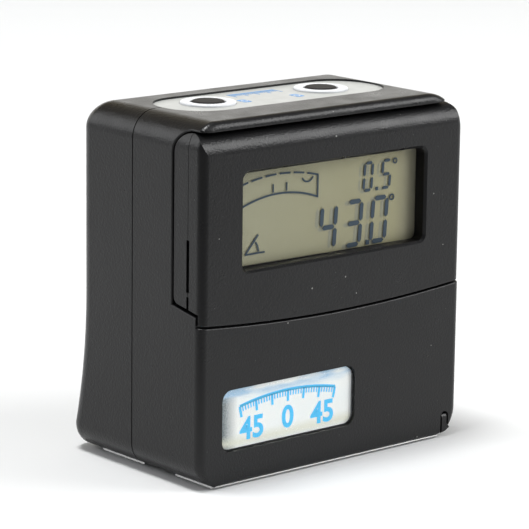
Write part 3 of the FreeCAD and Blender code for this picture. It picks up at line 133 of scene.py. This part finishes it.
# ---- Node materials ---------------------------------------------------------------------------------
class Finish:
    """A node material being built up around one Principled shader."""

    def __init__(self, name, **values):
        self.material = bpy.data.materials.new(name)
        self.material.use_nodes = True
        self.tree = self.material.node_tree
        self.tree.nodes.clear()
        output = self.tree.nodes.new("ShaderNodeOutputMaterial")
        self.shader = self.tree.nodes.new("ShaderNodeBsdfPrincipled")
        self.join(self.shader.outputs["BSDF"], output.inputs["Surface"])
        place = self.tree.nodes.new("ShaderNodeTexCoord")
        self.place = place.outputs["Object"]
        for socket, value in values.items():
            self.set(socket.replace("_", " "), value)

    def join(self, source, target):
        self.tree.links.new(source, target)

    def set(self, socket, value):
        """Feeds a shader socket, given by name, from a node's output or a plain value."""
        target = self.shader.inputs[socket]
        if isinstance(value, bpy.types.NodeSocket):
            self.join(value, target)
        elif isinstance(value, tuple) and len(value) == 3 and target.type == "RGBA":
            target.default_value = (*value, 1.0)
        else:
            target.default_value = value

    def node(self, kind, **settings):
        made = self.tree.nodes.new(kind)
        for key, value in settings.items():
            setattr(made, key, value)
        return made

    def stretched(self, scale):
        """The object's own coordinates, scaled along each axis."""
        mapping = self.node("ShaderNodeMapping")
        mapping.inputs["Scale"].default_value = scale
        self.join(self.place, mapping.inputs["Vector"])
        return mapping.outputs["Vector"]

    def noise(self, per_metre, detail=2.0, roughness=0.5, stretch=None):
        made = self.node("ShaderNodeTexNoise")
        made.inputs["Scale"].default_value = per_metre
        made.inputs["Detail"].default_value = detail
        made.inputs["Roughness"].default_value = roughness
        self.join(self.stretched(stretch) if stretch else self.place, made.inputs["Vector"])
        return made.outputs["Fac"]

    def specks(self, per_metre, share, small, large):
        """Scattered round specks: a share of the cells hold one, between two sizes."""
        made = self.node("ShaderNodeTexVoronoi")
        made.inputs["Scale"].default_value = per_metre
        self.join(self.place, made.inputs["Vector"])
        split = self.node("ShaderNodeSeparateColor")
        self.join(made.outputs["Color"], split.inputs[0])
        chosen = self.maths("GREATER_THAN", split.outputs[0], 1.0 - share)
        size = self.between(split.outputs[1], 0.0, 1.0, small, large)
        inside = self.maths("LESS_THAN", made.outputs["Distance"], size)
        return self.maths("MULTIPLY", inside, chosen)

    def maths(self, operation, a, b):
        made = self.node("ShaderNodeMath", operation=operation)
        for socket, value in zip(made.inputs, (a, b)):
            if isinstance(value, bpy.types.NodeSocket):
                self.join(value, socket)
            else:
                socket.default_value = value
        return made.outputs[0]

    def between(self, source, low, high, to_low=0.0, to_high=1.0):
        made = self.node("ShaderNodeMapRange", clamp=True)
        self.join(source, made.inputs["Value"])
        for socket, value in zip(("From Min", "From Max", "To Min", "To Max"), (low, high, to_low, to_high)):
            made.inputs[socket].default_value = value
        return made.outputs["Result"]

    def mix(self, factor, a, b, blend="MIX"):
        made = self.node("ShaderNodeMix", data_type="RGBA", blend_type=blend)
        for socket, value in ((made.inputs[0], factor), (made.inputs[6], a), (made.inputs[7], b)):
            if isinstance(value, bpy.types.NodeSocket):
                self.join(value, socket)
            elif isinstance(value, tuple):
                socket.default_value = (*value, 1.0)
            else:
                socket.default_value = value
        return made.outputs[2]

    def along(self, axis):
        made = self.node("ShaderNodeSeparateXYZ")
        self.join(self.place, made.inputs[0])
        return made.outputs[axis]

    def bump(self, height, strength, depth):
        made = self.node("ShaderNodeBump")
        made.inputs["Strength"].default_value = strength
        made.inputs["Distance"].default_value = depth
        self.join(height, made.inputs["Height"])
        self.join(made.outputs["Normal"], self.shader.inputs["Normal"])


def moulded_black(name, grain):
    """Spark-textured black ABS: leathery grain, faint cloudiness and a few specks of dust."""
    finish = Finish(name, IOR=1.38)
    plain = finish.mix(finish.noise(70.0, 3.0), CASE_DARK, CASE_LIGHT)
    speck = finish.specks(400.0, DUST_SHARE, 0.02, 0.065)
    faint = finish.specks(700.0, DUST_SHARE, 0.03, 0.08)
    dusty = finish.mix(faint, plain, (0.05, 0.05, 0.05))
    finish.set("Base Color", finish.mix(speck, dusty, DUST))
    finish.set("Roughness", finish.between(finish.noise(240.0, 3.0), 0.3, 0.7, 0.27, 0.35))
    finish.bump(finish.noise(grain, 1.5, 0.6), GRAIN_STRENGTH, GRAIN_DEPTH)
    return finish.material


def smooth_black(name):
    """Satin black plastic, as inside the window."""
    finish = Finish(name, IOR=1.35)
    body = finish.mix(finish.noise(200.0), (0.0030, 0.0028, 0.0028), (0.0055, 0.0050, 0.0050))
    finish.set("Base Color", body)
    finish.set("Roughness", finish.between(finish.noise(900.0), 0.3, 0.7, 0.42, 0.50))
    return finish.material


def brushed_aluminium(name):
    finish = Finish(name, Metallic=1.0)
    streaks = finish.noise(900.0, 4.0, 0.7, stretch=(0.04, 1.0, 1.0))
    finish.set("Base Color", finish.mix(streaks, (0.36, 0.36, 0.36), (0.52, 0.52, 0.51)))
    finish.set("Roughness", finish.between(streaks, 0.3, 0.7, 0.24, 0.40))
    finish.bump(streaks, 0.15, 0.00002)
    return finish.material


def metal(name, dark, light, rough):
    finish = Finish(name, Metallic=1.0)
    wear = finish.noise(METAL_WEAR, 3.0, 0.6)
    finish.set("Base Color", finish.mix(wear, dark, light))
    finish.set("Roughness", finish.between(wear, 0.3, 0.7, *rough))
    finish.bump(finish.noise(METAL_WEAR * 6, 2.0), 0.08, 0.00002)
    return finish.material


def plain_plastic(name, dark, light, rough, strength=0.15, ior=1.46):
    finish = Finish(name, IOR=ior)
    finish.set("Base Color", finish.mix(finish.noise(150.0, 3.0), dark, light))
    finish.set("Roughness", finish.between(finish.noise(500.0), 0.3, 0.7, *rough))
    finish.bump(finish.noise(FINE_GRAIN, 2.0), strength, FINE_DEPTH)
    return finish.material


def circuit_board(name):
    """Green laminate with buried tracks and rows of tinned pads."""
    finish = Finish(name, IOR=1.5, Roughness=0.32)
    tracks = finish.node("ShaderNodeTexBrick")
    tracks.inputs["Scale"].default_value = 330.0
    tracks.inputs["Mortar Size"].default_value = 0.06
    finish.join(finish.place, tracks.inputs["Vector"])
    lines = finish.between(tracks.outputs["Fac"], 0.0, 1.0)
    green = finish.mix(finish.noise(300.0), (0.006, 0.055, 0.020), (0.010, 0.075, 0.028))
    finish.set("Base Color", finish.mix(lines, green, (0.020, 0.125, 0.045)))
    finish.bump(lines, 0.2, 0.00003)
    return finish.material


def display_panel(name, tint=(1.0, 1.0, 1.0)):
    """The reflective cell: olive grey, with painted shade that makes it darker and greyer towards the right
    edge. A tint below one gives the darker copy used for the figures' painted shadows.
    """
    finish = Finish(name, IOR=1.45, Roughness=0.35, Metallic=0.2)
    low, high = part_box("lcd_cell")
    # Painted shade: darker and yellower from left to right, and darker and greyer still in the last few mm,
    # where the window's right wall shades the cell.
    across = finish.between(finish.along("X"), low[0], high[0])
    right_wall_shade = finish.between(finish.along("X"), high[0] - 7.0 * MM, high[0] - 2.0 * MM)
    shaded_across = finish.mix(across, (0.385, 0.380, 0.252), (0.350, 0.328, 0.172))
    wall_shaded = finish.mix(right_wall_shade, shaded_across, (0.255, 0.240, 0.175))
    cloud = finish.mix(finish.noise(180.0, 3.0), tuple(0.95 * c for c in tint), tint)
    finish.set("Base Color", finish.mix(1.0, wall_shaded, cloud, "MULTIPLY"))
    return finish.material


def clear_film(name, tint, alpha, rough):
    """A thin clear layer that shows mostly by its gloss."""
    finish = Finish(name, IOR=1.5, Alpha=alpha)
    finish.set("Base Color", finish.mix(finish.noise(120.0), tint, tuple(0.97 * c for c in tint)))
    finish.set("Roughness", finish.between(finish.noise(700.0), 0.3, 0.7, *rough))
    return finish.material


def pearl_foil(name):
    """Pearly white foil: painted shade darkens its left end to a deep teal under the resin's steep rim;
    straw-coloured low down, sky-blue streaks high up.
    """
    finish = Finish(name, Metallic=0.4, Roughness=0.34, IOR=1.5)
    low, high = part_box("label_foil")
    wave = finish.between(finish.noise(95.0, 2.0, 0.5, stretch=(0.6, 1.0, 2.6)), 0.38, 0.62)
    body = finish.mix(wave, (0.90, 0.94, 0.92), (0.95, 0.96, 0.91))
    # Painted shade: the left end darkens to a deep teal, as seen under the resin's steep rim.
    left = finish.between(finish.along("X"), low[0] + 0.8 * MM, low[0] + 3.6 * MM, 1.0, 0.0)
    body = finish.mix(left, body, (0.03, 0.07, 0.08))
    height = finish.along("Z")
    foot = finish.between(height, low[2] + 0.4 * MM, low[2] + 2.4 * MM, 1.0, 0.0)
    band = finish.maths("MULTIPLY", foot, finish.between(height, low[2], low[2] + 1.0 * MM))
    body = finish.mix(band, body, (0.72, 0.72, 0.52))
    crest = finish.between(height, high[2] - 2.3 * MM, high[2] - 0.9 * MM)
    streaks = finish.between(finish.noise(210.0, 2.0, 0.5, stretch=(0.45, 1.0, 2.2)), 0.42, 0.58)
    body = finish.mix(finish.maths("MULTIPLY", crest, streaks), body, (0.30, 0.55, 0.78))
    fleck = finish.noise(4200.0, 1.0)
    finish.set("Base Color", finish.mix(finish.between(fleck, 0.3, 0.7, 0.0, 0.3), body, (0.93, 0.94, 0.93)))
    finish.bump(fleck, 0.05, 0.00002)
    return finish.material


def printed_ink(name, dark, light):
    finish = Finish(name, Roughness=0.38)
    finish.set("Base Color", finish.mix(finish.noise(800.0, 2.0), dark, light))
    return finish.material


def battery_jacket(name):
    """A printed steel jacket: dark body with a copper-coloured band towards the raised end."""
    finish = Finish(name, Metallic=0.7)
    low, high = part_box("battery_cell")
    run = finish.between(finish.along("X"), low[0], high[0])
    band = finish.maths("GREATER_THAN", run, 0.70)
    tip = finish.maths("GREATER_THAN", run, 0.966)
    jacket = finish.mix(band, (0.012, 0.014, 0.018), (0.55, 0.26, 0.10))
    finish.set("Base Color", finish.mix(tip, jacket, (0.70, 0.70, 0.68)))
    finish.set("Roughness", finish.between(finish.noise(400.0), 0.3, 0.7, 0.25, 0.38))
    return finish.material


# ---- Building ------------------------------------------------------------------------------------------
def dress(material, *names):
    """Gives a material to CAD nodes."""
    for name in names:
        mesh = NODES[name].data
        mesh.materials.clear()
        mesh.materials.append(material)


def piece_from(name, build, material, body, smooth=False):
    """Makes a piece from a bmesh that build fills in, and lets it ride on a body."""
    shape = bmesh.new()
    build(shape)
    bmesh.ops.recalc_face_normals(shape, faces=shape.faces)
    mesh = bpy.data.meshes.new(name)
    shape.to_mesh(mesh)
    shape.free()
    if smooth:
        mesh.polygons.foreach_set("use_smooth", [True] * len(mesh.polygons))
    mesh.materials.append(material)
    piece = bpy.data.objects.new(name, mesh)
    bpy.context.collection.objects.link(piece)
    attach(piece, body)
    return piece


def front_slivers(outlines, face_y, thick=PRINT_THICK):
    """Thin solids facing the front, from (x, z) outlines in mm, standing on a face at face_y (m)."""
    def build(shape):
        for outline in outlines:
            back = [shape.verts.new((x * MM, face_y, z * MM)) for x, z in outline]
            front = [shape.verts.new((x * MM, face_y - thick * MM, z * MM)) for x, z in outline]
            close_prism(shape, back, front)
    return build


def top_slivers(outlines, face_z, thick=PRINT_THICK):
    """Thin solids facing up, from (x, y) outlines in mm, standing on a face at face_z (m)."""
    def build(shape):
        for outline in outlines:
            low = [shape.verts.new((x * MM, y * MM, face_z)) for x, y in outline]
            high = [shape.verts.new((x * MM, y * MM, face_z + thick * MM)) for x, y in outline]
            close_prism(shape, low, high)
    return build


def close_prism(shape, first, second):
    """Closes the solid between two loops of vertices."""
    shape.faces.new(first)
    shape.faces.new(second)
    skin(shape, first, second)


def skin(shape, first, second):
    """Joins two loops of vertices with a band of faces."""
    for index in range(len(first)):
        after = (index + 1) % len(first)
        shape.faces.new((first[index], first[after], second[after], second[index]))


def bar(u0, u1, v0, v1):
    return [(u0, v0), (u1, v0), (u1, v1), (u0, v1)]


def arc_band(middle, top, radius, start, end, stroke, steps):
    """Part of a ring that peaks at (middle, top), from start to end in degrees from upright."""
    outer, inner = [], []
    for index in range(steps + 1):
        angle = math.radians(start + (end - start) * index / steps)
        for r, points in ((radius, outer), (radius - stroke, inner)):
            points.append((middle + r * math.sin(angle), top - radius + r * math.cos(angle)))
    return outer + inner[::-1]


def arc_tick(middle, top, radius, degrees, drop, length, stroke):
    """A tick that hangs below the arc, drop to drop + length inside it."""
    angle = math.radians(degrees)
    out = Vector((math.sin(angle), math.cos(angle)))
    side = Vector((out.y, -out.x)) * stroke / 2
    centre = Vector((middle, top - radius))
    far, near = centre + out * (radius - drop), centre + out * (radius - drop - length)
    return [tuple(far - side), tuple(far + side), tuple(near + side), tuple(near - side)]


SEGMENTS = {"a": (0, 1, 1, 1), "g": (0, 0.5, 1, 0.5), "d": (0, 0, 1, 0), "f": (0, 0.5, 0, 1),
            "e": (0, 0, 0, 0.5), "b": (1, 0.5, 1, 1), "c": (1, 0, 1, 0.5)}
FIGURES = {"0": "abcdef", "3": "abcdg", "4": "bcfg", "5": "acdfg"}


def segment_marks(names, x, z, width, height, stroke):
    """Seven-segment bars with pointed ends, from a figure's lower left corner."""
    outlines = []
    for name in names:
        u0, v0, u1, v1 = SEGMENTS[name]
        start = Vector((u0 * width, v0 * height))
        run = Vector((u1 * width, v1 * height)) - start
        ahead = run.normalized()
        side = Vector((-ahead.y, ahead.x)) * stroke / 2
        inset = stroke * 0.26
        tips = ((inset, 0), (inset + stroke / 2, 1), (run.length - inset - stroke / 2, 1),
                (run.length - inset, 0), (run.length - inset - stroke / 2, -1), (inset + stroke / 2, -1))
        points = [start + ahead * along + side * sign for along, sign in tips]
        outlines.append([(x + p.x + SLANT * p.y, z + p.y) for p in points])
    return outlines


def numerals(text, size, middle, foot, face_y):
    """Bold figures printed on a front face, as an extruded font outline turned upright."""
    curve = bpy.data.curves.new("numerals", "FONT")
    curve.body = text
    curve.size = size * MM
    curve.align_x = "CENTER"
    curve.offset = 0.028 * size * MM
    curve.extrude = PRINT_THICK * MM / 2
    curve.resolution_u = 5
    maker = bpy.data.objects.new("numerals_maker", curve)
    mesh = bpy.data.meshes.new_from_object(maker)
    bpy.data.objects.remove(maker)
    turn = Matrix(((1, 0, 0, middle * MM), (0, 0, -1, face_y - PRINT_THICK * MM / 2), (0, 1, 0, foot * MM),
                   (0, 0, 0, 1)))
    mesh.transform(turn)
    return mesh


# ---- The front label ---------------------------------------------------------------------------------
def label_print(ink):
    """A graduated blue arc with figures under it, on the foil."""
    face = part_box("label_foil")[0][1]
    arc = (LABEL_ARC_MIDDLE, LABEL_ARC_TOP, LABEL_ARC_RADIUS)
    outlines = [arc_band(*arc, -LABEL_ARC_REACH, LABEL_ARC_REACH, 0.5, 24)]
    for index in range(-LABEL_HALF_TICKS, LABEL_HALF_TICKS + 1):
        degrees = LABEL_ARC_REACH * index / LABEL_HALF_TICKS
        long_one = index % 6 == 0
        length, stroke = (1.9, 0.5) if long_one else (1.0, 0.28)
        outlines.append(arc_tick(*arc, degrees, 0.3, length, stroke))
    piece_from("label_scale", front_slivers(outlines, face), ink, "case")
    for number, (text, middle, foot) in enumerate(LABEL_FIGURES):
        mesh = numerals(text, LABEL_FIGURE_SIZE, middle, foot, face)
        mesh.materials.clear()
        mesh.materials.append(ink)
        figure = bpy.data.objects.new(f"label_figure_{number}", mesh)
        bpy.context.collection.objects.link(figure)
        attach(figure, "case")


def rounded_loop(low, high, inset, radius):
    """Points round an upright rounded rectangle, counted the same way for every inset."""
    x0, x1, z0, z1 = low[0] + inset, high[0] - inset, low[2] + inset, high[2] - inset
    r = max(radius - inset, 0.05 * MM)
    corners = ((x1 - r, z0 + r, -90), (x1 - r, z1 - r, 0), (x0 + r, z1 - r, 90), (x0 + r, z0 + r, 180))
    points = []
    for cx, cz, start in corners:
        for index in range(CORNER_STEPS + 1):
            angle = math.radians(start + 90 * index / CORNER_STEPS)
            points.append((cx + r * math.cos(angle), cz + r * math.sin(angle)))
    return points


def resin_dome(material):
    """The clear crowned resin over the label: a low rim that swells to a broad dome."""
    low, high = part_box("label_dome")
    back = high[1] - 0.01 * MM
    full = back - low[1]
    rim = CROWN_EDGE * MM
    radius = CROWN_CORNER * MM
    shoulder = CROWN_SHOULDER * MM

    def build(shape):
        rings = [[shape.verts.new((x, back, z)) for x, z in rounded_loop(low, high, 0.0, radius)]]
        for index in range(9):
            run = index / 8
            rise = rim + (full * CROWN_FIRST - rim) * math.sqrt(1 - (1 - run) ** 2)
            loop = rounded_loop(low, high, shoulder * run ** 1.5, radius)
            rings.append([shape.verts.new((x, back - rise, z)) for x, z in loop])
        centre_x, centre_z = (low[0] + high[0]) / 2, (low[2] + high[2]) / 2
        edge = rounded_loop(low, high, shoulder, radius)
        for index in range(1, 8):
            keep = 1 - index / 8
            rise = full * (CROWN_FIRST + (1 - CROWN_FIRST) * (1 - keep ** 2))
            loop = [(centre_x + (x - centre_x) * keep, centre_z + (z - centre_z) * keep) for x, z in edge]
            rings.append([shape.verts.new((x, back - rise, z)) for x, z in loop])
        shape.faces.new(rings[0])
        shape.faces.new(rings[-1])
        for first, second in zip(rings, rings[1:]):
            skin(shape, first, second)

    dome = piece_from("label_resin_crown", build, material, "case", smooth=True)
    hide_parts("label_dome")


# ---- The top panel -----------------------------------------------------------------------------------
def panel_print(ink, paint):
    """On the grey overlay: a fine scale between the buttons, and a sign beside each of them."""
    low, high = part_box("top_panel")
    face = high[2]
    front = low[1] / MM
    outlines = [bar(-5.2, 5.1, front + 12.5, front + 13.0)]
    for index in range(PANEL_TICKS):
        x = -5.05 + 0.5 * index
        length = 2.3 if index % 5 == 0 else 1.3
        outlines.append(bar(x - 0.12, x + 0.12, front + 12.6 - length, front + 12.6))
    power = (PANEL_POWER[0], front + PANEL_POWER[1])
    zero = (PANEL_ZERO[0], front + PANEL_ZERO[1])
    outlines += [patch(*power), patch(*zero)]
    piece_from("panel_print", top_slivers(outlines, face), ink, "case")
    signs = [turned(arc_band(0, 0.62, 0.62, 40, 320, 0.2, 16), *power),
             bar(power[0] - 0.1, power[0] + 0.1, power[1] + 0.15, power[1] + 0.8),
             turned(arc_band(0, 0.62, 0.62, 0, 179, 0.2, 12), *zero),
             turned(arc_band(0, 0.62, 0.62, 180, 359, 0.2, 12), *zero)]
    piece_from("panel_signs", top_slivers(signs, face + 1.02 * PRINT_THICK * MM, SIGN_THICK), paint, "case")


def patch(x, y):
    """A small tile with clipped corners round (x, y)."""
    wide, deep, clip = 0.85, 1.25, 0.3
    return [(x - wide + clip, y - deep), (x + wide - clip, y - deep), (x + wide, y - deep + clip),
            (x + wide, y + deep - clip), (x + wide - clip, y + deep), (x - wide + clip, y + deep),
            (x - wide, y + deep - clip), (x - wide, y - deep + clip)]


def turned(outline, x, y):
    """An outline round the origin, moved to (x, y)."""
    return [(x + u, y + v) for u, v in outline]


# ---- The display --------------------------------------------------------------------------------------
def display_shadows(material):
    """The soft shadows that the lit segments throw on the reflector behind the glass."""
    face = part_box("lcd_cell")[0][1]
    outlines = []
    for figures, (foot, *shape) in ((SMALL_FIGURES, SMALL_PLACE), (LARGE_FIGURES, LARGE_PLACE)):
        for figure, x in figures:
            outlines += segment_marks(FIGURES[figure], x + SHADOW[0], foot + SHADOW[1], *shape)
    shades = front_slivers(outlines, face, SHADOW_THICK)
    piece_from("display_figure_shadows", shades, material, "display_head")


def window_film(material):
    """The clear film, a hair in front of the cell so that light passes between them."""
    low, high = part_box("lcd_film")
    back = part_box("lcd_cell")[0][1] - FILM_AIR * MM

    def build(shape):
        x0, x1, z0, z1 = low[0], high[0], low[2], high[2]
        corners = ((x0, z0), (x1, z0), (x1, z1), (x0, z1))
        close_prism(shape, [shape.verts.new((x, back, z)) for x, z in corners],
                    [shape.verts.new((x, low[1], z)) for x, z in corners])

    film = piece_from("display_film_sheet", build, material, "display_head")
    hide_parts("lcd_film")


def window_liner(material):
    """A dark glossy lining round the window's walls, and a dark strip of painted shade across the foot of the
    display that rises towards its lower left.
    """
    cell_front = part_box("lcd_film")[0][1]
    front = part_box("display_bezel")[0][1] + LINER_SETBACK * MM
    low, high = Vector(LINER_LOW) * MM, Vector(LINER_HIGH) * MM

    def build(shape):
        rings = []
        for inset, y in ((0.0, front), (0.0, cell_front - 0.01 * MM), (0.12 * MM, cell_front - 0.01 * MM),
                         (0.06 * MM, front)):
            loop = rounded_loop(low, high, inset, LINER_CORNER * MM)
            rings.append([shape.verts.new((x, y, z)) for x, z in loop])
        for first, second in zip(rings, rings[1:] + rings[:1]):
            skin(shape, first, second)

    piece_from("window_liner", build, material, "display_head")
    # The strip of painted shade, just in front of the film.
    shade_strip = front_slivers([SHADE_STRIP], cell_front - 0.035 * MM, SHADE_STRIP_THICK)
    piece_from("window_shade_strip", shade_strip, material, "display_head")


# ---- The base -----------------------------------------------------------------------------------------
def base_edge(material):
    """The base plate's cut left edge leans out a little, on either side of the groove."""
    plate_low, plate_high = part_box("base_plate")
    front, back = plate_low[1] / MM, plate_high[1] / MM

    def build(shape):
        for near, far in ((front + 0.05, front + GROOVE_START), (front + GROOVE_END, back - 0.05)):
            ends = [[shape.verts.new((x * MM, y * MM, z * MM)) for x, z in EDGE_SECTION] for y in (near, far)]
            close_prism(shape, *ends)

    piece_from("base_plate_edge", build, material, "case")


def main():
    dress(moulded_black("case_black", CASE_GRAIN), "middle_shell", "rear_cover", "battery_door", "door_catch")
    dress(moulded_black("head_black", HEAD_GRAIN), "display_bezel", "display_back_cover")
    aluminium = brushed_aluminium("base_metal")
    dress(aluminium, "base_plate")
    base_edge(aluminium)
    steel = metal("screw_steel", (0.30, 0.30, 0.31), (0.48, 0.48, 0.49), (0.28, 0.42))
    dress(steel, "cover_screws", "base_screws", "display_screws", "hinge_pins", "board_screws", "door_pin",
          "catch_pin")
    nickel = metal("nickel", (0.52, 0.51, 0.48), (0.66, 0.65, 0.61), (0.18, 0.30))
    dress(nickel, "base_magnets", "friction_washers", "battery_spring", "door_contact")
    dress(plain_plastic("inner_grey", (0.016, 0.016, 0.018), (0.024, 0.024, 0.026), (0.45, 0.6)),
          "base_frame", "battery_tray")
    dress(display_panel("display_cell"), "lcd_cell")
    dress(printed_ink("display_ink", (0.012, 0.034, 0.058), (0.016, 0.042, 0.070)), "lcd_figures")
    rubber = plain_plastic("key_rubber", (0.014, 0.013, 0.012), (0.022, 0.020, 0.019), (0.58, 0.70),
                           ior=1.35)
    dress(rubber, "power_button", "zero_button", "zebra_strips")
    dress(circuit_board("circuit_board"), "display_board", "button_board", "main_board")
    package = plain_plastic("package_black", (0.010, 0.010, 0.010), (0.016, 0.016, 0.016), (0.5, 0.62))
    dress(package, "controller_chip", "tilt_sensor", "power_switch", "zero_switch", "power_switch_plunger",
          "zero_switch_plunger")
    dress(metal("header_brass", (0.50, 0.36, 0.12), (0.62, 0.46, 0.18), (0.25, 0.4)), "board_link")
    dress(plain_plastic("wire_grey", (0.16, 0.16, 0.17), (0.22, 0.22, 0.23), (0.4, 0.5)), "case_wires",
          "display_wires")
    dress(plain_plastic("panel_grey", (0.43, 0.44, 0.42), (0.49, 0.50, 0.48), (0.30, 0.40), strength=0.05),
          "top_panel")
    dress(plain_plastic("ring_white", (0.70, 0.72, 0.74), (0.75, 0.77, 0.79), (0.25, 0.35), strength=0.05),
          "button_rings")
    dress(battery_jacket("cell_jacket"), "battery_cell")
    dress(pearl_foil("label_pearl"), "label_foil")
    blue = printed_ink("print_blue", PRINT_BLUE_DEEP, PRINT_BLUE)
    label_print(blue)
    resin_dome(clear_film("label_resin", (0.93, 0.97, 1.0), 0.07, (0.06, 0.10)))
    panel_print(printed_ink("panel_blue", (0.045, 0.24, 0.55), (0.060, 0.28, 0.62)),
                printed_ink("panel_paint", (0.62, 0.64, 0.66), (0.66, 0.68, 0.70)))
    display_shadows(display_panel("display_shade", (0.76, 0.80, 0.98)))
    window_film(clear_film("display_film", (0.35, 0.35, 0.30), 0.08, (0.16, 0.24)))
    window_liner(smooth_black("liner_black"))
    build_stage()


# ---- Floor, light and camera ---------------------------------------------------------------------------
def build_stage():
    floor_mesh = bpy.data.meshes.new("floor")
    corners = ((-1, -1), (1, -1), (1, 1), (-1, 1))
    floor_mesh.from_pydata([(x * FLOOR_REACH, y * FLOOR_REACH, -FLOOR_DROP) for x, y in corners],
                           [], [(0, 1, 2, 3)])
    floor = bpy.data.objects.new("floor", floor_mesh)
    bpy.context.collection.objects.link(floor)
    floor_mesh.materials.append(floor_paper())
    bpy.context.scene.view_settings.view_transform = "Standard"
    build_world()
    for lamp in LAMPS:
        area_light(*lamp)
    build_camera()


def floor_paper():
    """White paper that ends a little way in front of the object, on a dim table."""
    finish = Finish("floor_paper", Roughness=0.85)
    toward = finish.node("ShaderNodeVectorMath", operation="DOT_PRODUCT")
    finish.join(finish.place, toward.inputs[0])
    toward.inputs[1].default_value = (-math.sin(VIEW_AZIMUTH), -math.cos(VIEW_AZIMUTH), 0.0)
    table = finish.between(toward.outputs["Value"], PAPER_END, PAPER_END + PAPER_FADE)
    paper = finish.mix(finish.noise(3.0), FLOOR_WHITE, tuple(0.99 * c for c in FLOOR_WHITE))
    finish.set("Base Color", finish.mix(table, paper, TABLE_GREY))
    return finish.material


def build_world():
    """A dim room with a white backdrop low down at the back and a warm wall above it."""
    world = bpy.data.worlds.new("studio")
    world.use_nodes = True
    tree = world.node_tree
    tree.nodes.clear()
    output = tree.nodes.new("ShaderNodeOutputWorld")
    background = tree.nodes.new("ShaderNodeBackground")
    place = tree.nodes.new("ShaderNodeTexCoord")
    split = tree.nodes.new("ShaderNodeSeparateXYZ")
    tree.links.new(place.outputs["Generated"], split.inputs[0])
    height = split.outputs["Z"]
    ahead = tree.nodes.new("ShaderNodeVectorMath")
    ahead.operation = "DOT_PRODUCT"
    tree.links.new(place.outputs["Generated"], ahead.inputs[0])
    ahead.inputs[1].default_value = (math.sin(BACKDROP_AZIMUTH), math.cos(BACKDROP_AZIMUTH), 0.0)
    facing = world_ramp(tree, ahead.outputs["Value"], 0.45, 0.75)
    backdrop = world_maths(tree, "MULTIPLY", world_ramp(tree, height, 0.42, 0.26), facing)
    warm = world_maths(tree, "MULTIPLY", world_ramp(tree, height, 0.72, 0.50), facing)
    wall = world_mix(tree, warm, ROOM_DIM, ROOM_WARM)
    tree.links.new(world_mix(tree, backdrop, wall, ROOM_BACKDROP), background.inputs["Color"])
    tree.links.new(background.outputs[0], output.inputs[0])
    bpy.context.scene.world = world


def world_maths(tree, operation, a, b):
    made = tree.nodes.new("ShaderNodeMath")
    made.operation = operation
    tree.links.new(a, made.inputs[0])
    tree.links.new(b, made.inputs[1])
    return made.outputs[0]


def world_mix(tree, factor, a, b):
    made = tree.nodes.new("ShaderNodeMix")
    made.data_type = "RGBA"
    tree.links.new(factor, made.inputs[0])
    for socket, value in ((made.inputs[6], a), (made.inputs[7], b)):
        if isinstance(value, tuple):
            socket.default_value = (*value, 1.0)
        else:
            tree.links.new(value, socket)
    return made.outputs[2]


def world_ramp(tree, source, low, high):
    """0 at low rising smoothly to 1 at high (or falling, when low is above high)."""
    ramp = tree.nodes.new("ShaderNodeMapRange")
    ramp.interpolation_type = "SMOOTHSTEP"
    tree.links.new(source, ramp.inputs["Value"])
    ramp.inputs["From Min"].default_value = low
    ramp.inputs["From Max"].default_value = high
    return ramp.outputs["Result"]


def area_light(name, direction, distance, size, radiance, colour):
    """A square softbox seen in a given direction from the object."""
    data = bpy.data.lights.new(name, "AREA")
    data.shape = "SQUARE"
    data.size = size
    data.energy = radiance * math.pi * size * size
    data.color = colour
    lamp = bpy.data.objects.new(name, data)
    way = Vector(direction).normalized()
    lamp.location = way * distance
    lamp.rotation_euler = way.to_track_quat("Z", "Y").to_euler()
    bpy.context.collection.objects.link(lamp)


def build_camera():
    forward = Vector((math.sin(VIEW_AZIMUTH) * math.cos(VIEW_ELEVATION),
                      math.cos(VIEW_AZIMUTH) * math.cos(VIEW_ELEVATION), -math.sin(VIEW_ELEVATION)))
    level = Vector((math.cos(VIEW_AZIMUTH), -math.sin(VIEW_AZIMUTH), 0.0))
    upright = level.cross(forward)
    right = level * math.cos(VIEW_ROLL) + upright * math.sin(VIEW_ROLL)
    up = upright * math.cos(VIEW_ROLL) - level * math.sin(VIEW_ROLL)
    data = bpy.data.cameras.new("viewer")
    data.lens = VIEW_LENS
    data.sensor_width = 36.0
    camera = bpy.data.objects.new("viewer", data)
    matrix = Matrix((right, up, -forward)).transposed().to_4x4()
    matrix.translation = VIEW_AIM - forward * VIEW_DISTANCE
    camera.matrix_world = matrix
    bpy.context.collection.objects.link(camera)
    bpy.context.scene.camera = camera


main()
